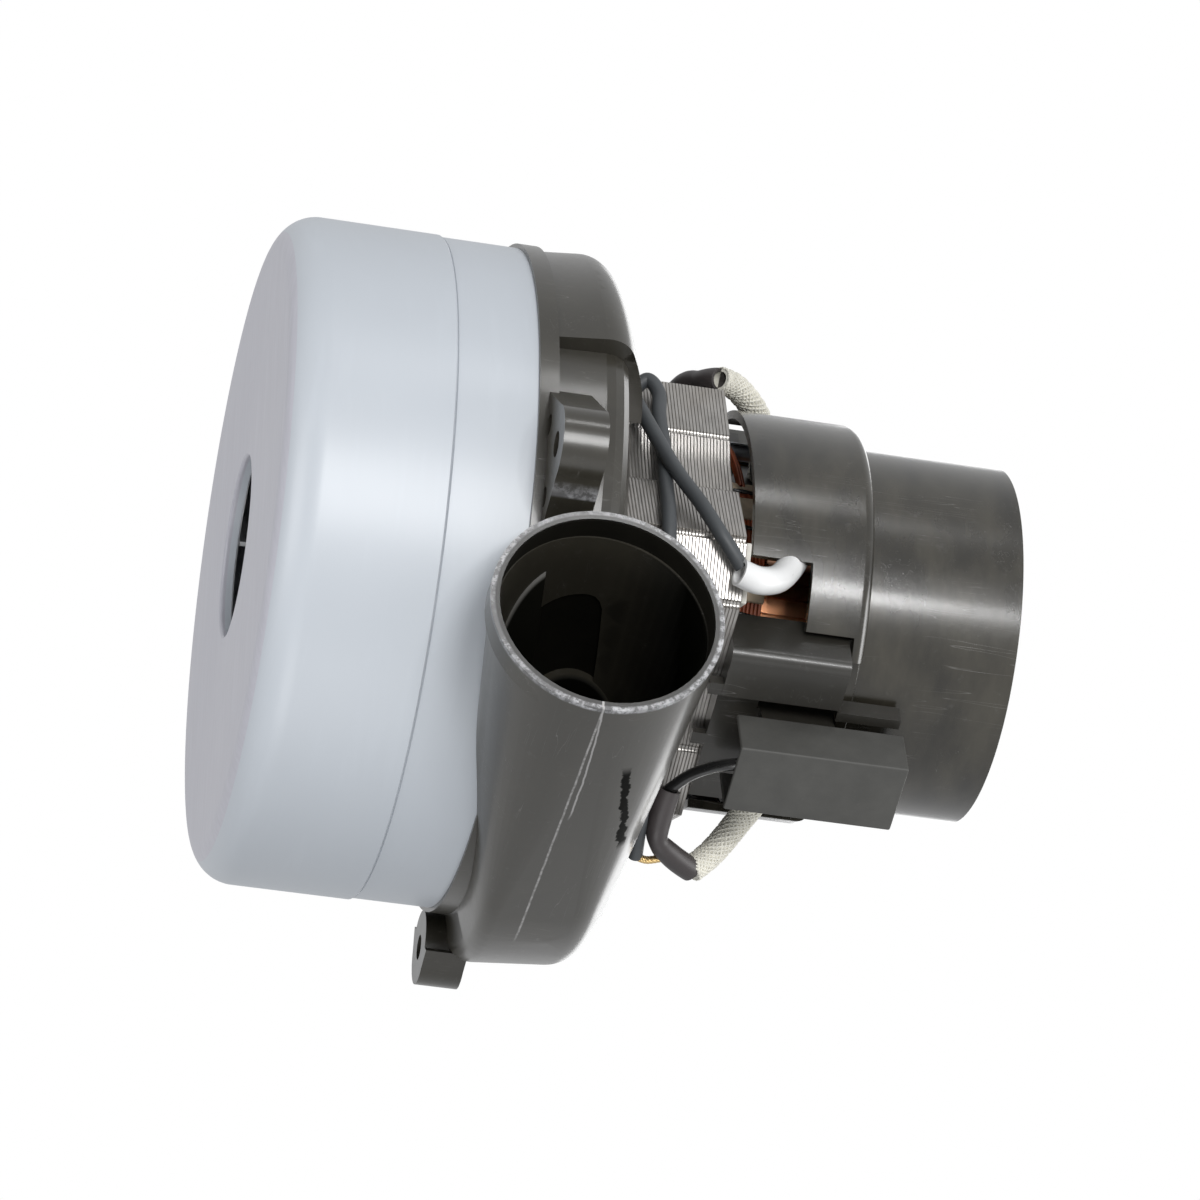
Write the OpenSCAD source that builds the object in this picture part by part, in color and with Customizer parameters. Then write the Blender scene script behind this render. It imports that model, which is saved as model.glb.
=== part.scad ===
// Bypass vacuum motor with a two stage fan and a tangential discharge horn.
// It stands on its inlet face: Z is the shaft, +X is the way the horn blows.

/* [Fan casing] */
// Outer radius of the front fan can
shell_r = 72.4; // [70:0.1:76]
// Height of the front fan can
front_can_h = 34.2; // [33:0.1:36]
// Height of the whole fan casing, up to the housing flange
casing_h = 51.4; // [50.5:0.1:54]
// Thickness of the sheet of both cans
sheet_t = 0.9; // [0.6:0.1:1.2]
// Radius of the rounded edge round the inlet face
can_edge_r = 8.5; // [5:0.1:12]
// Step from the front can in to the rear can
can_step = 0.4; // [0.2:0.1:1]
// Radius of the inlet hole
inlet_r = 19.66; // [17:0.01:20]
// Height of the rolled collar inside the inlet hole
collar_h = 2.6; // [1.5:0.1:3]

/* [Fan stages] */
// Room between the rim of an impeller and the wall of the front can
impeller_room = 6.5; // [5:0.1:12]
// Height of the impeller blades
blade_h = 9.6; // [7:0.1:10]
// Thickness of the impeller blades and discs
blade_t = 0.9; // [0.6:0.1:1.2]
// Number of blades on one impeller
blade_count = 7; // [5:1:9]
// Radius of the eye of an impeller
eye_r = 21.4; // [21:0.1:24]
// Number of guide vanes of the fixed plates
vane_count = 10; // [6:1:14]
// Thickness of the guide vanes
vane_t = 1.2; // [0.8:0.1:1.6]
// Running gap between an impeller and the fixed plates
fan_gap = 1.4; // [1:0.1:2]

/* [Scroll housing] */
// Radius of the flange that takes the fan casing
flange_r = 73; // [72.6:0.1:78]
// Thickness of the flange
flange_h = 4.1; // [3:0.1:6]
// Wall of the scroll
scroll_wall = 2.3; // [1.6:0.1:3]
// Mean outer radius of the scroll
scroll_r = 77.3; // [75:0.1:82]
// Offset of the scroll's axis towards its wide side
scroll_offset = 4.9; // [3:0.1:6]
// Lean of the scroll's axis, so that the channel deepens
scroll_lean = 5; // [3:0.1:6]
// Direction of the wide side of the scroll
scroll_az = 135; // [120:1:150]
// Direction of the step where the scroll starts
scroll_start_az = -12.5; // [-20:0.5:0]
// Radius of the low wall between the step and the horn
base_r = 69.6; // [67:0.1:71]
// Height of the upright part of the low wall
base_wall_h = 10.8; // [9:0.1:12]
// Radius of the wall between the channel and the motor
core_r = 54; // [53:0.1:56]

/* [Discharge horn] */
// Outer radius of the horn's round mouth
mouth_r = 24; // [20:0.1:25]
// Distance of the mouth from the shaft, along the horn
mouth_x = 76.5; // [72:0.1:90]
// Height of the centre of the mouth
mouth_z = 65.4; // [64:0.1:68]
// Length of the straight part at the mouth
mouth_h = 6; // [4:0.1:8]
// Wall of the horn
horn_wall = 1.85; // [1.4:0.05:2.5]
// Distance from the shaft to the outermost line of the horn
horn_edge_y = 82; // [80:0.1:84]
// Outer radius of the horn where it leaves the scroll
root_r = 14.4; // [12:0.1:18]
// Height of the horn's centre where it leaves the scroll
root_z = 71.8; // [69:0.1:74]

/* [Mounting lugs] */
// Number of mounting lugs
lug_count = 3; // [3:1:4]
// Direction of the first lug
lug_az = 15; // [5:0.5:20]
// Radius of the circle of the lug holes
lug_circle_r = 83; // [81:0.1:86]
// Radius of the round end of a lug
lug_end_r = 8.2; // [7:0.1:10]
// Radius of the hole in a lug
lug_hole_r = 2.75; // [2:0.05:3.5]
// Thickness of a lug
lug_h = 9.3; // [6:0.1:10]

/* [Stator] */
// Direction of the first field pole
pole_az = 25.5; // [20:0.5:31]
// Height of the lower face of the lamination stack
stack_z = 75; // [74.5:0.1:75.5]
// Height of the lamination stack
stack_h = 26.5; // [24:0.1:27]
// Half of the stack's width across the poles
stack_x = 50; // [49.5:0.1:51]
// Half of the stack's width along the gap between the poles
stack_y = 47; // [46:0.1:48]
// Radius of the bore in the stator
stator_bore_r = 21.4; // [21.3:0.1:22]
// Thickness of the pole shoes
shoe_t = 2; // [1.5:0.1:2.5]
// Outer radius of the winding slots
slot_outer_r = 30.6; // [29:0.1:31]
// Radial gap between the field coils and the slots
coil_gap = 0.5; // [0.3:0.1:0.8]
// Height of the coil heads past the stack
coil_head_h = 7.5; // [5:0.1:8]
// Thickness of the pale insulating plates on the stack
insulator_t = 1.2; // [0.8:0.1:1.6]

/* [Through bolts] */
// Radius of a through bolt
bolt_r = 2; // [1.5:0.1:2.2]
// Distance of the through bolts from the shaft
bolt_circle_r = 35.8; // [35.5:0.1:36.2]
// Clearance of the holes round the through bolts
bolt_gap = 0.4; // [0.2:0.05:0.6]

/* [Armature] */
// Radius of the armature core
armature_r = 20.8; // [20.2:0.1:21]
// Number of armature slots and commutator bars
slot_count = 22; // [18:2:24]
// Radius of the shaft in the bearings and fans
shaft_r = 4; // [3.5:0.1:4.2]
// Radius of the shaft in the armature
core_shaft_r = 5; // [4.6:0.1:5.4]
// Radius of the commutator
commutator_r = 13.5; // [13:0.1:14.5]
// Length of the commutator
commutator_h = 14.5; // [12:0.1:15]
// Height of the lower end of the commutator
commutator_z = 112.3; // [111:0.1:112.4]

/* [Bearings] */
// Outer radius of both bearings
bearing_r = 11; // [10:0.1:12]
// Width of both bearings
bearing_h = 7; // [6:0.1:8]
// Outer radius of the inner race
inner_race_r = 6.2; // [5.8:0.1:6.6]

/* [Brush gear] */
// Direction of the first brush
brush_az = 72.5; // [70:0.5:75]
// Width of a carbon brush round the shaft
brush_w = 6.5; // [5:0.1:7]
// Width of a carbon brush along the shaft
brush_h = 11; // [9:0.1:12]
// Length of a carbon brush
brush_l = 20; // [15:0.5:24]
// Height of the middle of the brushes
brush_z = 120.2; // [119.5:0.1:120.5]
// Wall of the brass brush tube
tube_wall = 0.8; // [0.6:0.1:1]
// Outer end of the brush tube, from the shaft
tube_end = 50; // [48:0.5:52]
// Width of the folded insulating box
box_w = 17; // [15:0.1:19]
// Length of the insulating box along the shaft
box_h = 36.5; // [32:0.1:38]
// Outer face of the insulating box, from the shaft
box_outer = 57.5; // [56:0.1:60]
// Height of the lower end of the insulating box
box_z = 105.5; // [104:0.1:107]
// Thickness of the insulating box's sheet
box_t = 0.9; // [0.6:0.1:1.2]

/* [Commutator end cover] */
// Outer radius of the wide skirt of the cover
skirt_r = 44; // [43.5:0.1:45]
// Height where the skirt starts
skirt_z = 104.2; // [103.5:0.1:106]
// Outer radius of the end cylinder
cap_r = 39.4; // [38.5:0.1:39.8]
// Height where the skirt meets the end cylinder
shoulder_z = 128.6; // [128.5:0.1:129]
// Wall of the cover
cover_wall = 2; // [1.5:0.1:2.4]
// Overall height of the motor
motor_h = 164.8; // [162:0.1:170]
// Number of slots in the end grille
grille_slots = 16; // [8:1:24]

/* [Cooling fan] */
// Radius of the cooling fan
cooling_r = 35.6; // [32:0.1:36]
// Height of the lower face of the cooling fan
cooling_z = 142; // [141:0.1:144]
// Height of the cooling fan's blades
cooling_h = 12; // [9:0.1:13]
// Number of blades on the cooling fan
cooling_blades = 9; // [5:1:12]

/* [Leads] */
// Radius of the grey supply lead
lead_r = 1.6; // [1.4:0.05:1.8]
// Radius of the thin brush lead
thin_lead_r = 1.3; // [1:0.05:1.5]
// Radius of the shrink tubes over the joints
shrink_r = 2.7; // [2.2:0.05:3]
// Radius of the white braided sleeves
braid_r = 3; // [2.5:0.05:3.2]

/* [Hidden] */
$fn = 96;

eps = 0.01;
fit = 0.05;
neck_gap = 0.1;
rear_can_r = shell_r - can_step;
neck_r = shell_r - sheet_t - neck_gap;
impeller_r = shell_r - sheet_t - impeller_room;
neck_z = 24.5;

// Stack of the fan stages, from the inlet face up
shroud_gap = 1.3;
first_z = sheet_t + shroud_gap;
first_disc_z = first_z + blade_t + blade_h;
guide_z = first_disc_z + blade_t + fan_gap;
plate_t = 0.9;
partition_z = neck_z - plate_t;
second_z = neck_z + fan_gap;
second_disc_z = second_z + blade_t + blade_h;
diffuser_z = second_disc_z + blade_t + fan_gap;
nut_af = 13;
nut_h = 6;
washer_t = 1.5;
washer_r = 9;
washer_z = first_disc_z - washer_t;
nut_z = washer_z - nut_h;
spacer_r = 6.1;

// Housing heights
flange_top = casing_h + flange_h;
channel_open_r = 70;
floor_t = 3;
bearing_lip_h = 1.5;
bearing_lip_r = 9;
front_bearing_z = flange_top + bearing_lip_h;
hub_wall = 4;
casing_gap = 0.2;
chamber_r = 46;
ledge_z = stack_z - 4;
pocket_r = stack_x + 1.6;
rib_count = 6;
rib_t = 2.5;
rib_h = 4;

// Section of the scroll, in its own leaning frame
scroll_mid_z = 65;
scroll_floor = -13.2;
crown_x = 52;
crown_y = -38;
crown_r = 55;
corner_r = 6.5;
foot_r = 4;
corner_x = scroll_r - corner_r;
corner_y = crown_y + sqrt(pow(crown_r - corner_r, 2) - pow(corner_x - crown_x, 2));
crown_end_x = crown_x + (corner_x - crown_x) * crown_r / (crown_r - corner_r);
scroll_inner_x = core_r - 10;
scroll_end_az = 84;
tongue_az = 16;
tongue_t = 3;

// Section of the low wall
base_corner_r = 6;
base_top_r = 50;
base_top_z = 75.6;

// Horn, from the mouth down to its root
root_x = -14;
root_y = 64.9;
cone_x = mouth_x - mouth_h;
cone_lead = 4;
horn_y = horn_edge_y - mouth_r;
mouth_at = [cone_x, horn_y, mouth_z];
root_at = [root_x, root_y, root_z];
horn_run = root_at - mouth_at;
horn_len = norm(horn_run);
horn_dir = horn_run / horn_len;
mouth_step = 0.7;
cone_over = 0.3;
root_step = 0.45;
horn_taper = (mouth_r - mouth_step - root_r) / horn_len;

// Lugs
lug_z = flange_top - 2;
lug_pocket_r = 2.2;
lug_pocket_back = 9.5;
lug_side_tilt = 30;
lug_relief = 3;
lug_step = 0.15;
lug_pocket_x = 8;
lug_skin = 2;

// Stator outline, in the frame of the poles
stack_top = stack_z + stack_h;
yoke_half = 7;
crown_half = 9.5;
ear_x = 37;
ear_y = 18.8;
waist_x = 29.8;
waist_y = 21;
hip_x = 24;
hip_y = 28;
flank_x = 21;
flank_y = 34.4;
notch_r = 1;
window_start = 36;
window_end = 62;
coil_outer_r = slot_outer_r - coil_gap;
coil_inner_r = stator_bore_r + shoe_t + coil_gap;
coil_start = window_start + 1.5;
coil_stop = window_end - 2.5;

// Armature
armature_z = stack_z;
slot_r = 1.9;
slot_at = armature_r - 4;
slot_mouth = 1.8;
head_r = 18.6;
head_h = 8;
commutator_top = commutator_z + commutator_h;
hub_out_r = 8.6;
riser_h = 2.2;
riser_r = commutator_r + 1.6;
bar_gap = 0.5;
bar_depth = 1.4;

// Bracket and bearing at the commutator end
disc_t = 2.5;
disc_z = shoulder_z - 0.1;
rear_bearing_z = disc_z + 1;
bracket_r = cap_r - cover_wall - 0.3;
tube_w = brush_w + 2 * tube_wall + 2 * fit;
tube_h = brush_h + 2 * tube_wall + 2 * fit;
tube_start = riser_r + 0.6;
brush_start = commutator_r + fit;
cap_plug = 1.2;
cap_t = 0.9;
block_start = -23.5;
block_end = -11.5;
block_inner = 31;
block_outer = 44.5;
block_edge_r = 2.5;
post_r = 5.8;
post_z = 112;
head_seat_z = disc_z - 3.5;
bolt_head_r = 3.4;
bolt_head_h = 3;
shaft_end_z = cooling_z + cooling_h + 5;

// Cover cut-outs, measured from the brush direction
cut_from = -34.5;
cut_to = 41;
cut_deep_from = -27.5;
cut_low_from = -53.75;
cut_low_z = 117.4;
cut_high_z = shoulder_z - 0.6;
neck_fillet = 0.3;

bare_r = 0.9;

// Routes of the leads, placed by hand
coil_lead_route = [
  [47.8, 22.2, 100.4], [50.6, 16.5, 95.2], [48.8, 8, 91.4], [46.2, -0.1, 87.7], [43.2, -8.1, 85],
  [38.2, -22.1, 80.9], [34, -30.5, 79.2], [32.3, -35, 77.4], [31, -38.4, 76.8], [25.7, -42.3, 76.7],
  [15.4, -47.5, 76.9], [8, -49.1, 81], [5.2, -49.4, 93.4]
];
cross_lead_route = [
  [32.5, -32.2, 80.5], [33.4, -34.6, 83.3], [34, -30.8, 85.6], [35.2, -23.5, 85.4], [37, -14.5, 86],
  [43.6, 0, 85], [49.8, 14.2, 84.2], [45.4, 26.8, 85], [30, 41.5, 87], [9, 51.5, 89], [-12.5, 57.8, 91.5]
];
bare_twist_route = [[-12.5, 57.8, 91.5], [-12.2, 58.6, 94], [-10.4, 58.6, 97.4]];
coil_sleeve_route = [[48.4, 24, 99.6], [48, 24.6, 103.8], [43.8, 22, 108.4], [37, 16.4, 109.6], [29.1, 10.6, 107]];
brush_lead_route = [[17.2, 49.4, 112.5], [19, 51.8, 107.4], [15.3, 51, 102.3], [8.9, 49.6, 98.5], [2, 49.4, 95.5]];
lower_splice_route = [[2, 49.4, 95.5], [-2.3, 53.2, 94.7], [-6.4, 56.8, 95], [-10.4, 57.9, 99], [-14.5, 58.2, 104.2]];
lower_braid_route = [[-14.5, 58.2, 104.2], [-13.4, 53.6, 108.8], [-10.2, 47, 113.8], [-3.6, 43.6, 117], [4.8, 41.5, 118]];
upper_splice_route = [[5.2, -49.4, 93.4], [15.2, -49.2, 96.1], [21.8, -45.9, 99.3], [24.5, -44.4, 101.5]];
upper_braid_route = [[24.5, -44.4, 101.5], [20.8, -45.5, 106.4], [11.5, -46.6, 113], [3, -45, 117], [-4.8, -41.5, 118]];

// Two dimensional shapes

// A can's half section with a rounded outer edge at its foot
module can_half(r, h, edge) {
  translate([0, edge]) square([r, h - edge]);
  square([r - edge, edge + eps]);
  translate([r - edge, edge]) circle(edge);
}

// A sector of a disc between two directions
module sector(from, to, r) {
  steps = ceil((to - from) / 15);
  polygon(concat([[0, 0]], [for (i = [0:steps]) r * [cos(from + (to - from) * i / steps),
    sin(from + (to - from) * i / steps)]]));
}

// A ring sector between two directions
module ring_sector(from, to, inner, outer) {
  intersection() {
    difference() {
      circle(outer);
      circle(inner);
    }
    sector(from, to, 2 * outer);
  }
}

// A curved blade: part of a thin ring that runs from one radius to another
module blade_arc(inner, outer, arc_r, t) {
  intersection() {
    translate([0, arc_r]) difference() {
      circle(arc_r + t / 2);
      circle(arc_r - t / 2);
    }
    difference() {
      circle(outer);
      circle(inner);
    }
    translate([0, -arc_r]) square([outer, 2 * arc_r]);
  }
}

module scroll_section(inset) {
  intersection() {
    translate([crown_x, crown_y]) circle(crown_r - inset);
    translate([scroll_inner_x, scroll_floor + inset])
      square([crown_end_x - scroll_inner_x, 2 * crown_r]);
  }
  translate([corner_x, corner_y]) circle(corner_r - inset);
  translate([scroll_inner_x, scroll_floor + inset])
    square([scroll_r - foot_r - scroll_inner_x, foot_r]);
  translate([scroll_inner_x, scroll_floor + foot_r])
    square([scroll_r - inset - scroll_inner_x, corner_y - scroll_floor - foot_r]);
  translate([scroll_r - foot_r, scroll_floor + foot_r]) circle(foot_r - inset);
}

module base_section(inset) {
  wall_z = flange_top + base_wall_h;
  corner = base_corner_r - inset;
  bend = [for (a = [0, 20, 42, 65]) [base_r - base_corner_r + corner * cos(a), wall_z + corner * sin(a)]];
  polygon(concat([[0, casing_h + 0.5], [base_r - inset, casing_h + 0.5]], bend,
    [[base_top_r, base_top_z - inset], [0, base_top_z - inset]]));
}

// The bodies of the scroll housing

// Scroll: a ring turned about an offset, leaning axis and kept above a level plane
module leaning_scroll(inset, from, to, low) {
  intersection() {
    rotate([0, 0, scroll_az]) translate([scroll_offset, 0, scroll_mid_z]) rotate([0, -scroll_lean, 0])
      rotate([0, 0, from - scroll_az]) rotate_extrude(angle = to - from) scroll_section(inset);
    translate([0, 0, low]) cylinder(r = 2 * scroll_r, h = scroll_r);
  }
}

// Turns the Z axis to a direction
module point_along(dir) {
  rotate([0, acos(dir[2]), atan2(dir[1], dir[0])]) children();
}

module horn_body(inset, past) {
  cone_r = mouth_r - mouth_step - inset;
  intersection() {
    translate(mouth_at - cone_lead * horn_dir) point_along(horn_dir)
      cylinder(r1 = cone_r + cone_lead * horn_taper, r2 = root_r - inset, h = horn_len + cone_lead);
    translate([-mouth_x, 0, 0]) cube([mouth_x + cone_x + cone_over, 2 * mouth_x, 2 * mouth_x]);
  }
  translate(root_at) sphere(root_r + root_step - inset);
  translate(mouth_at) rotate([0, 90, 0]) cylinder(r = mouth_r - inset, h = mouth_h + past);
}

// Outer radius of the housing where a lug stands
function lug_root(az) = az < scroll_end_az ? base_r - 1.2 : scroll_r - 1.2 + scroll_offset * cos(az - scroll_az);

module lug_places() {
  for (i = [0:lug_count - 1]) rotate(lug_az + i * 360 / lug_count) children();
}

// Outline of a lug that spreads towards its root
module lug_section(root) {
  reach = lug_circle_r + (lug_end_r - lug_step) * sin(lug_side_tilt) - root;
  side = (lug_end_r - lug_step) * cos(lug_side_tilt);
  spread = side + reach * tan(lug_side_tilt);
  translate([lug_circle_r, 0]) circle(lug_end_r);
  polygon([[root, -spread], [root + reach, -side], [root + reach, side], [root, spread]]);
}

module lugs() {
  for (i = [0:lug_count - 1]) let (az = lug_az + i * 360 / lug_count) rotate(az) difference() {
    translate([0, 0, lug_z]) linear_extrude(lug_h) lug_section(lug_root(az));
    for (side = [-1, 1]) translate([lug_circle_r - lug_pocket_back, side * lug_pocket_x, lug_z - 1])
      cylinder(r = lug_pocket_r, h = lug_h + 1 - lug_skin);
  }
}

// Holes of the lugs, with room above them for the ends of the screws
module lug_holes() {
  lug_places() translate([lug_circle_r, 0, lug_z - 1]) cylinder(r = lug_hole_r, h = lug_h + 1 + lug_relief);
}

// The fan casing's place, with a margin round it
module casing_place(margin, top) {
  difference() {
    children();
    translate([0, 0, -1]) cylinder(r = shell_r + margin, h = top + 1);
  }
}

module outside_core() {
  difference() {
    children();
    translate([0, 0, -1]) cylinder(r = core_r, h = motor_h);
  }
}

// Wall across the channel between the horn and the start of the scroll
module tongue() {
  intersection() {
    rotate_extrude() base_section(scroll_wall / 2);
    rotate(tongue_az) translate([core_r - 1, -tongue_t / 2, flange_top]) cube([shell_r - core_r, tongue_t, scroll_r]);
  }
}

module scroll_housing() {
  color([0.16, 0.15, 0.14]) difference() {
    union() {
      difference() {
        union() {
          leaning_scroll(0, scroll_end_az, 360 + scroll_start_az, casing_h + 1);
          rotate_extrude() base_section(0);
          casing_place(casing_gap, casing_h) horn_body(0, 0);
          translate([0, 0, casing_h]) cylinder(r = flange_r, h = flange_h);
        }
        outside_core() leaning_scroll(scroll_wall, scroll_end_az + 3, 357 + scroll_start_az, flange_top);
        outside_core() rotate_extrude() base_section(scroll_wall);
        outside_core() casing_place(casing_gap + horn_wall, flange_top) horn_body(horn_wall, 1);
        translate([0, 0, casing_h - 1]) cylinder(r = channel_open_r, h = flange_h + 1);
        translate([0, 0, flange_top + floor_t]) cylinder(r = pocket_r, h = ledge_z - flange_top - floor_t);
        translate([0, 0, flange_top + floor_t]) cylinder(r = chamber_r, h = scroll_r);
        translate([0, 0, stack_z]) cylinder(r = pocket_r, h = scroll_r);
        translate([0, 0, flange_top - 1]) cylinder(r = bearing_r + hub_wall - 1, h = scroll_r);
      }
      lugs();
      tongue();
      bearing_hub();
    }
    lug_holes();
  }
}

// Bearing seat, its ribs and the bosses of the through bolts
module bearing_hub() {
  hub_r = bearing_r + hub_wall;
  difference() {
    union() {
      translate([0, 0, flange_top]) cylinder(r = hub_r, h = bearing_lip_h + bearing_h);
      for (i = [0:rib_count - 1]) rotate(pole_az + (i + 0.5) * 360 / rib_count)
        translate([hub_r - 1, -rib_t / 2, flange_top]) cube([chamber_r - hub_r + 1.5, rib_t, floor_t + rib_h]);
      bolt_places() translate([0, 0, flange_top]) cylinder(r = post_r, h = stack_z - flange_top);
    }
    translate([0, 0, flange_top - 1]) cylinder(r = bearing_lip_r, h = motor_h);
    translate([0, 0, front_bearing_z]) cylinder(r = bearing_r, h = motor_h);
    bolt_places() translate([0, 0, flange_top + floor_t]) cylinder(r = bolt_r, h = motor_h);
  }
}

module bolt_places() {
  for (side = [90, 270]) rotate(pole_az + side) translate([bolt_circle_r, 0, 0]) children();
}

// Fan casing

module front_fan_can() {
  color([0.80, 0.82, 0.86]) rotate_extrude() {
    difference() {
      can_half(shell_r, front_can_h, can_edge_r);
      translate([0, sheet_t]) can_half(shell_r - sheet_t, front_can_h, can_edge_r - sheet_t);
      square([inlet_r, 2 * sheet_t]);
    }
    translate([inlet_r, 0]) square([sheet_t, collar_h]);
  }
}

module rear_fan_can() {
  color([0.78, 0.80, 0.84]) rotate_extrude() {
    translate([neck_r - sheet_t, neck_z]) square([sheet_t, front_can_h - neck_z + sheet_t]);
    translate([neck_r - sheet_t, front_can_h]) square([rear_can_r - neck_r + sheet_t, sheet_t]);
    translate([rear_can_r - sheet_t, front_can_h]) square([sheet_t, casing_h - front_can_h]);
  }
}

// Fan stages

module impeller(low) {
  color([0.74, 0.75, 0.76]) translate([0, 0, low]) {
    difference() {
      cylinder(r = impeller_r, h = blade_t);
      translate([0, 0, -1]) cylinder(r = eye_r, h = blade_t + 2);
    }
    for (i = [0:blade_count - 1]) rotate(i * 360 / blade_count)
      translate([0, 0, blade_t]) linear_extrude(blade_h)
        blade_arc(eye_r - 2, impeller_r - 0.5, impeller_r * 0.75, blade_t);
    translate([0, 0, blade_t + blade_h]) difference() {
      cylinder(r = impeller_r, h = blade_t);
      translate([0, 0, -1]) cylinder(r = shaft_r, h = blade_t + 2);
    }
  }
}

module first_impeller() {
  impeller(first_z);
}

module second_impeller() {
  impeller(second_z);
}

// Fixed plate that turns the air back to the eye of the second stage
module stage_guide_plate() {
  disc_r = impeller_r + 1.5;
  color([0.70, 0.71, 0.72]) {
    translate([0, 0, guide_z]) difference() {
      cylinder(r = disc_r, h = plate_t);
      translate([0, 0, -1]) cylinder(r = spacer_r + 1.5, h = plate_t + 2);
    }
    for (i = [0:vane_count - 1]) rotate(i * 360 / vane_count)
      translate([0, 0, guide_z + plate_t]) linear_extrude(partition_z - guide_z - plate_t)
        blade_arc(eye_r + 2, disc_r - 1, impeller_r * 0.8, vane_t);
    translate([0, 0, partition_z]) difference() {
      cylinder(r = neck_r, h = plate_t);
      translate([0, 0, -1]) cylinder(r = eye_r - 0.8, h = plate_t + 2);
    }
  }
}

// Fixed plate that leads the air of the second stage into the scroll
module diffuser_plate() {
  disc_r = impeller_r + 1.5;
  drum_r = core_r - 2;
  color([0.22, 0.22, 0.23]) {
    translate([0, 0, diffuser_z]) difference() {
      cylinder(r = disc_r, h = plate_t);
      translate([0, 0, -1]) cylinder(r = spacer_r + 1.5, h = plate_t + 2);
    }
    translate([0, 0, diffuser_z + plate_t]) linear_extrude(flange_top - diffuser_z - plate_t) {
      difference() {
        circle(drum_r);
        circle(drum_r - 2);
      }
      for (i = [0:vane_count - 1]) rotate(i * 360 / vane_count)
        blade_arc(drum_r - 1, disc_r - 1, impeller_r * 0.6, vane_t);
    }
  }
}

// Rotor

module rotor_shaft() {
  step_z = front_bearing_z + bearing_h;
  color([0.72, 0.72, 0.74]) {
    translate([0, 0, nut_z - 2]) cylinder(r = shaft_r, h = step_z - nut_z + 2);
    translate([0, 0, step_z]) cylinder(r = core_shaft_r, h = rear_bearing_z - step_z);
    translate([0, 0, rear_bearing_z]) cylinder(r = shaft_r, h = shaft_end_z - rear_bearing_z);
  }
}

module collar(low, high, outer) {
  translate([0, 0, low]) difference() {
    cylinder(r = outer, h = high - low);
    translate([0, 0, -1]) cylinder(r = shaft_r, h = high - low + 2);
  }
}

module fan_spacers() {
  color([0.70, 0.70, 0.72]) {
    collar(first_disc_z + blade_t, second_disc_z, spacer_r);
    collar(second_disc_z + blade_t, front_bearing_z, spacer_r);
  }
}

module fan_washer() {
  color([0.75, 0.75, 0.77]) collar(washer_z, first_disc_z, washer_r);
}

module fan_nut() {
  color([0.75, 0.75, 0.77]) translate([0, 0, nut_z]) difference() {
    cylinder(r = nut_af / sqrt(3), h = nut_h, $fn = 6);
    translate([0, 0, -1]) cylinder(r = shaft_r, h = nut_h + 2);
  }
}

module bearing_places() {
  for (low = [front_bearing_z, rear_bearing_z]) translate([0, 0, low]) children();
}

module bearing_outer_races() {
  shield_t = 0.6;
  color([0.70, 0.71, 0.73]) bearing_places() difference() {
    cylinder(r = bearing_r, h = bearing_h);
    translate([0, 0, -1]) cylinder(r = inner_race_r + 0.1, h = bearing_h + 2);
    translate([0, 0, shield_t]) cylinder(r = bearing_r - 2.6, h = bearing_h - 2 * shield_t);
  }
}

module bearing_inner_races() {
  color([0.75, 0.76, 0.78]) bearing_places() difference() {
    cylinder(r = inner_race_r, h = bearing_h);
    translate([0, 0, -1]) cylinder(r = shaft_r, h = bearing_h + 2);
  }
}

module slot_places() {
  for (i = [0:slot_count - 1]) rotate(i * 360 / slot_count) children();
}

// Laminated core with round bottomed slots
module armature_core() {
  color([0.45, 0.44, 0.43]) translate([0, 0, armature_z]) difference() {
    cylinder(r = armature_r, h = stack_h);
    translate([0, 0, -1]) cylinder(r = core_shaft_r, h = stack_h + 2);
    slot_places() translate([slot_at, 0, -1]) {
      cylinder(r = slot_r, h = stack_h + 2);
      translate([0, -slot_mouth / 2, 0]) cube([armature_r, slot_mouth, stack_h + 2]);
    }
  }
}

// Copper winding: a filled slot wire and a rounded head at each end
module armature_winding() {
  color([0.45, 0.17, 0.08]) {
    for (low = [armature_z - head_h, armature_z + stack_h]) translate([0, 0, low]) rotate_extrude() {
      translate([core_shaft_r, 0]) square([head_r - core_shaft_r - head_h / 2, head_h]);
      translate([head_r - head_h / 2, head_h / 2]) circle(head_h / 2);
    }
    slot_places() translate([slot_at, 0, armature_z - head_h / 2])
      cylinder(r = slot_r - fit, h = stack_h + head_h);
  }
}

// Cuts between the copper bars
module bar_cuts(h) {
  slot_places() translate([commutator_r - bar_depth, -bar_gap / 2, -1]) cube([riser_r, bar_gap, h + 2]);
}

module commutator() {
  low = commutator_z + riser_h;
  color([0.72, 0.42, 0.26]) translate([0, 0, low]) difference() {
    cylinder(r = commutator_r, h = commutator_top - low);
    translate([0, 0, -1]) cylinder(r = hub_out_r, h = commutator_h + 2);
    bar_cuts(commutator_h);
  }
}

// Hooks of the bars, with the wire ends fused into them
module commutator_hooks() {
  color([0.70, 0.40, 0.24]) translate([0, 0, commutator_z]) difference() {
    cylinder(r = riser_r, h = riser_h);
    translate([0, 0, -1]) cylinder(r = hub_out_r, h = riser_h + 2);
    bar_cuts(riser_h);
    slot_places() rotate(180 / slot_count) translate([commutator_r + 0.2, -1.2, -1]) cube([riser_r, 0.9, riser_h + 2]);
  }
}

module commutator_hub() {
  color([0.20, 0.12, 0.08]) translate([0, 0, armature_z + stack_h + head_h]) difference() {
    cylinder(r = hub_out_r, h = commutator_top - armature_z - stack_h - head_h);
    translate([0, 0, -1]) cylinder(r = core_shaft_r, h = motor_h);
  }
}

// Stator

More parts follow.
